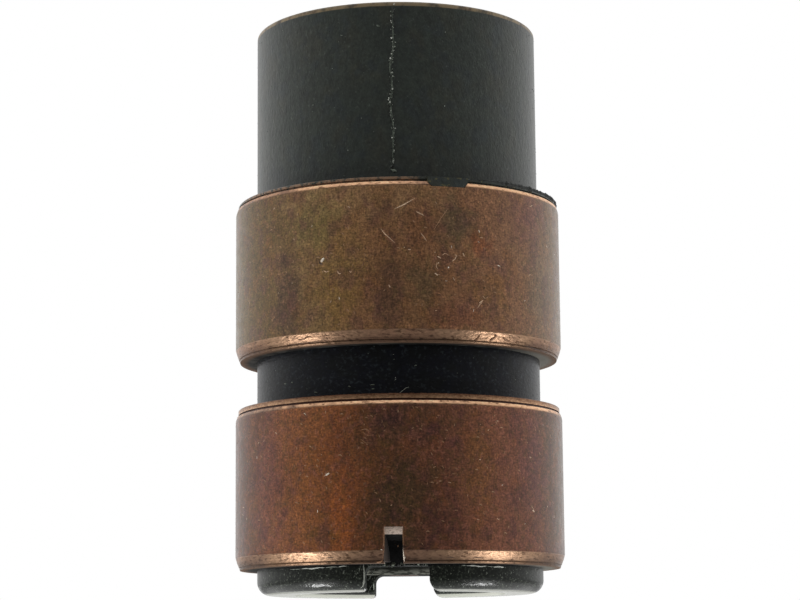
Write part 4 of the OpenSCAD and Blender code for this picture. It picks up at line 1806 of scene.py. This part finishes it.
flash = {
    "sleevePath": [(392, 6), (392.6, 23), (393, 35), (393.2, 46), (392, 56), (390, 66), (391.4, 77),
                   (392.4, 88), (390.2, 100), (391.4, 114), (393.6, 128), (393, 148), (392.4, 172)],
    "neckPath": [(394, 346), (394, 360), (395, 376), (395, 394)],
    "slotPath": [(366, 565), (378, 564), (392, 565), (410, 564), (430, 565)],
    "frayed": {
        # on the left foot's wall in the gap
        "strand across": (0.08, 0.7, [(375, 569), (371, 575), (367.5, 581)]),
        "strand behind": (0.09, 0.75, [(374.6, 577), (373.6, 583), (374, 590), (373.4, 595)]),
        "low strand": (0.07, 0.6, [(372.5, 584), (370, 588), (368, 593)]),
    },
    "outside": {
        # on the feet and the sleeve: width in millimetres, tone, then pixels of the photo
        # a light strand that paints the highlight on the left foot's rounded front edge
        "foot's corner, left": (0.13, 0.85, [
            (363.5, 564), (364.2, 571), (364.4, 580), (363.2, 586), (360, 588.5),
        ]),
        "strand by the corner": (0.07, 0.7, [(361.5, 565), (359.5, 569), (359, 573)]),
        "smudge by the flash": (0.12, 0.45, [(376, 25), (380, 26.5)]),
        "speck right of the flash": (0.14, 0.75, [(406, 96), (408, 96.4)]),
        "speck beside it": (0.12, 0.5, [(413, 101), (415, 101.4)]),
        "scuff high left": (0.12, 0.5, [(340, 35), (343, 35.6)]),
        "scuff near it": (0.1, 0.5, [(346, 50), (348.4, 51)]),
        "speck far left": (0.12, 0.55, [(303, 45), (305, 45.4)]),
        "speck low left": (0.12, 0.5, [(312, 105), (314.4, 105)]),
        "speck right": (0.1, 0.55, [(482, 71), (484, 71.6)]),
        "speck low right": (0.1, 0.55, [(488, 96), (490, 96)]),
        "foot of the flash": (0.2, 0.7, [(390.4, 169), (394, 171), (397, 171.4)]),
    },
    "neckSpecks": {
        "speck 1": (0.13, 0.75, [(298, 378), (300, 378)]),
        "speck 2": (0.12, 0.8, [(284, 384), (286.4, 383.4)]),
        "speck 3": (0.1, 0.65, [(291, 382), (293, 383)]),
        "speck 4": (0.12, 0.6, [(325, 362), (327, 362.6)]),
        "speck 5": (0.12, 0.6, [(348, 386), (351, 387)]),
        "speck 6": (0.14, 0.45, [(314, 392), (318, 393)]),
        "speck 7": (0.1, 0.6, [(370, 385), (375, 384.6)]),
        "speck 8": (0.1, 0.55, [(371, 389), (375, 389)]),
        "speck 9": (0.14, 0.65, [(415, 361.6), (417, 363.4)]),
        "speck 10": (0.1, 0.6, [(414, 366), (417, 365)]),
        "speck 11": (0.1, 0.5, [(443, 380), (445, 381)]),
        "speck 12": (0.11, 0.5, [(478, 392), (480, 393.4)]),
        "fibre": (0.06, 0.8, [(396, 396), (401, 392), (406, 388), (409, 387)]),
    },
    "undercut": {
        # flash squeezed out under the lower ring, its near-white tones a painted highlight where the lamps
        # catch it
        "left, bright": (0.11, 1.0, [(301, 569), (306, 568.3), (312, 568.6), (319, 567.5), (325, 567.7)]),
        "left, thin": (0.06, 0.8, [(290, 569.4), (301, 569)]),
        "left, thinning": (0.07, 0.85, [(325, 567.7), (333, 566.7), (338, 567)]),
        "left, inner": (0.09, 0.9, [(338, 567), (343, 565.8), (347, 566)]),
        "right, start": (0.07, 0.8, [(461, 565), (466, 565.6)]),
        "right, bright": (0.11, 1.0, [(466, 565.6), (473, 565.5), (481, 566.4), (487, 566)]),
        "right, thin": (0.06, 0.8, [(487, 566), (493, 566.9)]),
        "right, end": (0.11, 1.0, [(493, 566.9), (499, 566.5), (504, 567.3)]),
    },
    "ridge": 0.15,
    "ridgeTone": 0.42,
    "roughen": 2,
    "step": 0.12,
    "proud": 0.02,
    "wallProud": 0.01,
    "crumb": 0.17,
    "crumbFlatness": 0.6,
    "strewn": {
        # spacing and jitter in millimetres, share of places taken, smallest, largest, seed
        "flash_crumbs": (0.035, 0.17, 0.8, 0.25, 1.1, 12),
        "neck_flash": (0.12, 0.05, 0.5, 0.2, 0.7, 4),
        "slot_chips": (0.05, 0.14, 0.7, 0.4, 1.7, 6),
    },
    "beadTurns": range(27, 112, 3),  # degrees from the front
    "beadRadius": 13.7,
    "beadRise": 0.42,
    "bead": 0.34,
    "beadTone": 0.3,
    "roughness": 0.6,
    "metallic": 0,
    "tones": [
        (0.0, "#0a0c0a"),
        (0.35, "#191d18"),
        (0.42, "#565e53"),
        (0.75, "#858d80"),
        (1.0, "#eceee4"),
    ],
}

chips = {
    "roughness": 0.7,
    "metallic": 0,
    "tones": [(0.0, "#0a0c0a"), (0.5, "#22261f"), (0.85, "#50564c"), (1.0, "#8c9486")],
}

dust = {
    "fields": {
        # foot, head, seed
        "sleeve_dust": (upperHead + 0.5, totalHeight - 0.3, 21),
        "neck_dust": (lowerHead, upperFoot, 22),
    },
    "grain": 0.09,
    "grainFlatness": 0.5,
    "perMm2": 0.9,
    "patchSize": 2.5,
    "smallest": 0.3,
    "largest": 1.2,
    "roughness": 0.8,
    "metallic": 0,
    "tones": [(0.0, "#2a302b"), (0.7, "#474e46"), (0.93, "#787f75"), (1.0, "#a9b0a4")],
}


def dustAndFlash():
    radius = bodySize["radius"]
    crumb = crumbShape("crumb", flash["crumb"], flash["crumbFlatness"])
    grain = crumbShape("grain", dust["grain"], dust["grainFlatness"])
    flaked = tonedFinish("flaked phenolic flash", flash)
    chipped = tonedFinish("chipped phenolic edge", chips)
    dusty = tonedFinish("settled dust", dust)
    sleeve = [onPart(pixel, radius) for pixel in flash["sleevePath"]]
    neck = [onPart(pixel, radius) for pixel in flash["neckPath"]]
    slotEdge = [onPart(pixel, radius + flash["proud"]) for pixel in flash["slotPath"]]
    turnBack = Matrix.Rotation(math.pi, 3, "Z")
    sleeveBack, neckBack = ([turnBack @ place for place in path] for path in (sleeve, neck))
    height = upperHead + flash["beadRise"]
    bead = [around(turn, flash["beadRadius"], height) for turn in flash["beadTurns"]]
    wall = bodySize["gapShift"] - bodySize["gapWidth"] / 2 + flash["wallProud"]
    lines = [(flash["ridge"], flash["ridgeTone"], path) for path in (sleeve, sleeveBack)]
    lines.append((flash["bead"], flash["beadTone"], bead))
    for width, tone, pixels in flash["frayed"].values():
        lines.append((width, tone, [onWall(pixel, wall, bodySize["gapLean"]) for pixel in pixels]))
    for group in ("outside", "neckSpecks", "undercut"):
        for width, tone, pixels in flash[group].values():
            places = [onPart(pixel, radius + flash["proud"]) for pixel in pixels]
            lines.append((width, tone, places))
    pieces = [runTree("flash_ridge", marked, linesMesh("ridge", lines), {
        "Roughen": flash["roughen"],
        "Step": flash["step"] * mm,
        "Material": flaked,
    })]
    places = ((sleeve, sleeveBack), (neck, neckBack), (slotEdge,))
    strewn = zip(flash["strewn"].items(), places, (flaked, flaked, chipped))
    for (name, (spacing, jitter, coverage, smallest, largest, seed)), paths, material in strewn:
        path = linesMesh("path", [(0, 0, points) for points in paths])
        pieces.append(runTree(name, alongPath, path, {
            "Shape": crumb,
            "Spacing": spacing * mm,
            "Coverage": coverage,
            "Jitter": jitter * mm,
            "Smallest": smallest,
            "Largest": largest,
            "Seed": seed,
            "Material": material,
        }))
    for name, (foot, head, seed) in dust["fields"].items():
        pieces.append(runTree(name, scattered, bandMesh("field", radius, foot, head), {
            "Shape": grain,
            "Density": dust["perMm2"],
            "Patch size": dust["patchSize"],
            "Smallest": dust["smallest"],
            "Largest": dust["largest"],
            "Seed": seed,
            "Material": dusty,
        }))
    for piece in pieces:
        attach(piece, "root")
    bpy.data.objects.remove(crumb)
    bpy.data.objects.remove(grain)


dustAndFlash()
print("wear, flash and dust made")


# Lead of the upper ring: the CAD strip as it is, in its own material

leadLook = {
    "stainSize": 0.5,
    "tones": [(0.35, "#7a4b34"), (0.65, "#c98b68")],
    "roughness": 0.35,
    "reliefs": [(0.3, 3, 0.002)],
}

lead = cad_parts["upper_ring_lead"]
lead.data.materials.clear()
lead.data.materials.append(rolledCopper("rolled copper strip", leadLook))
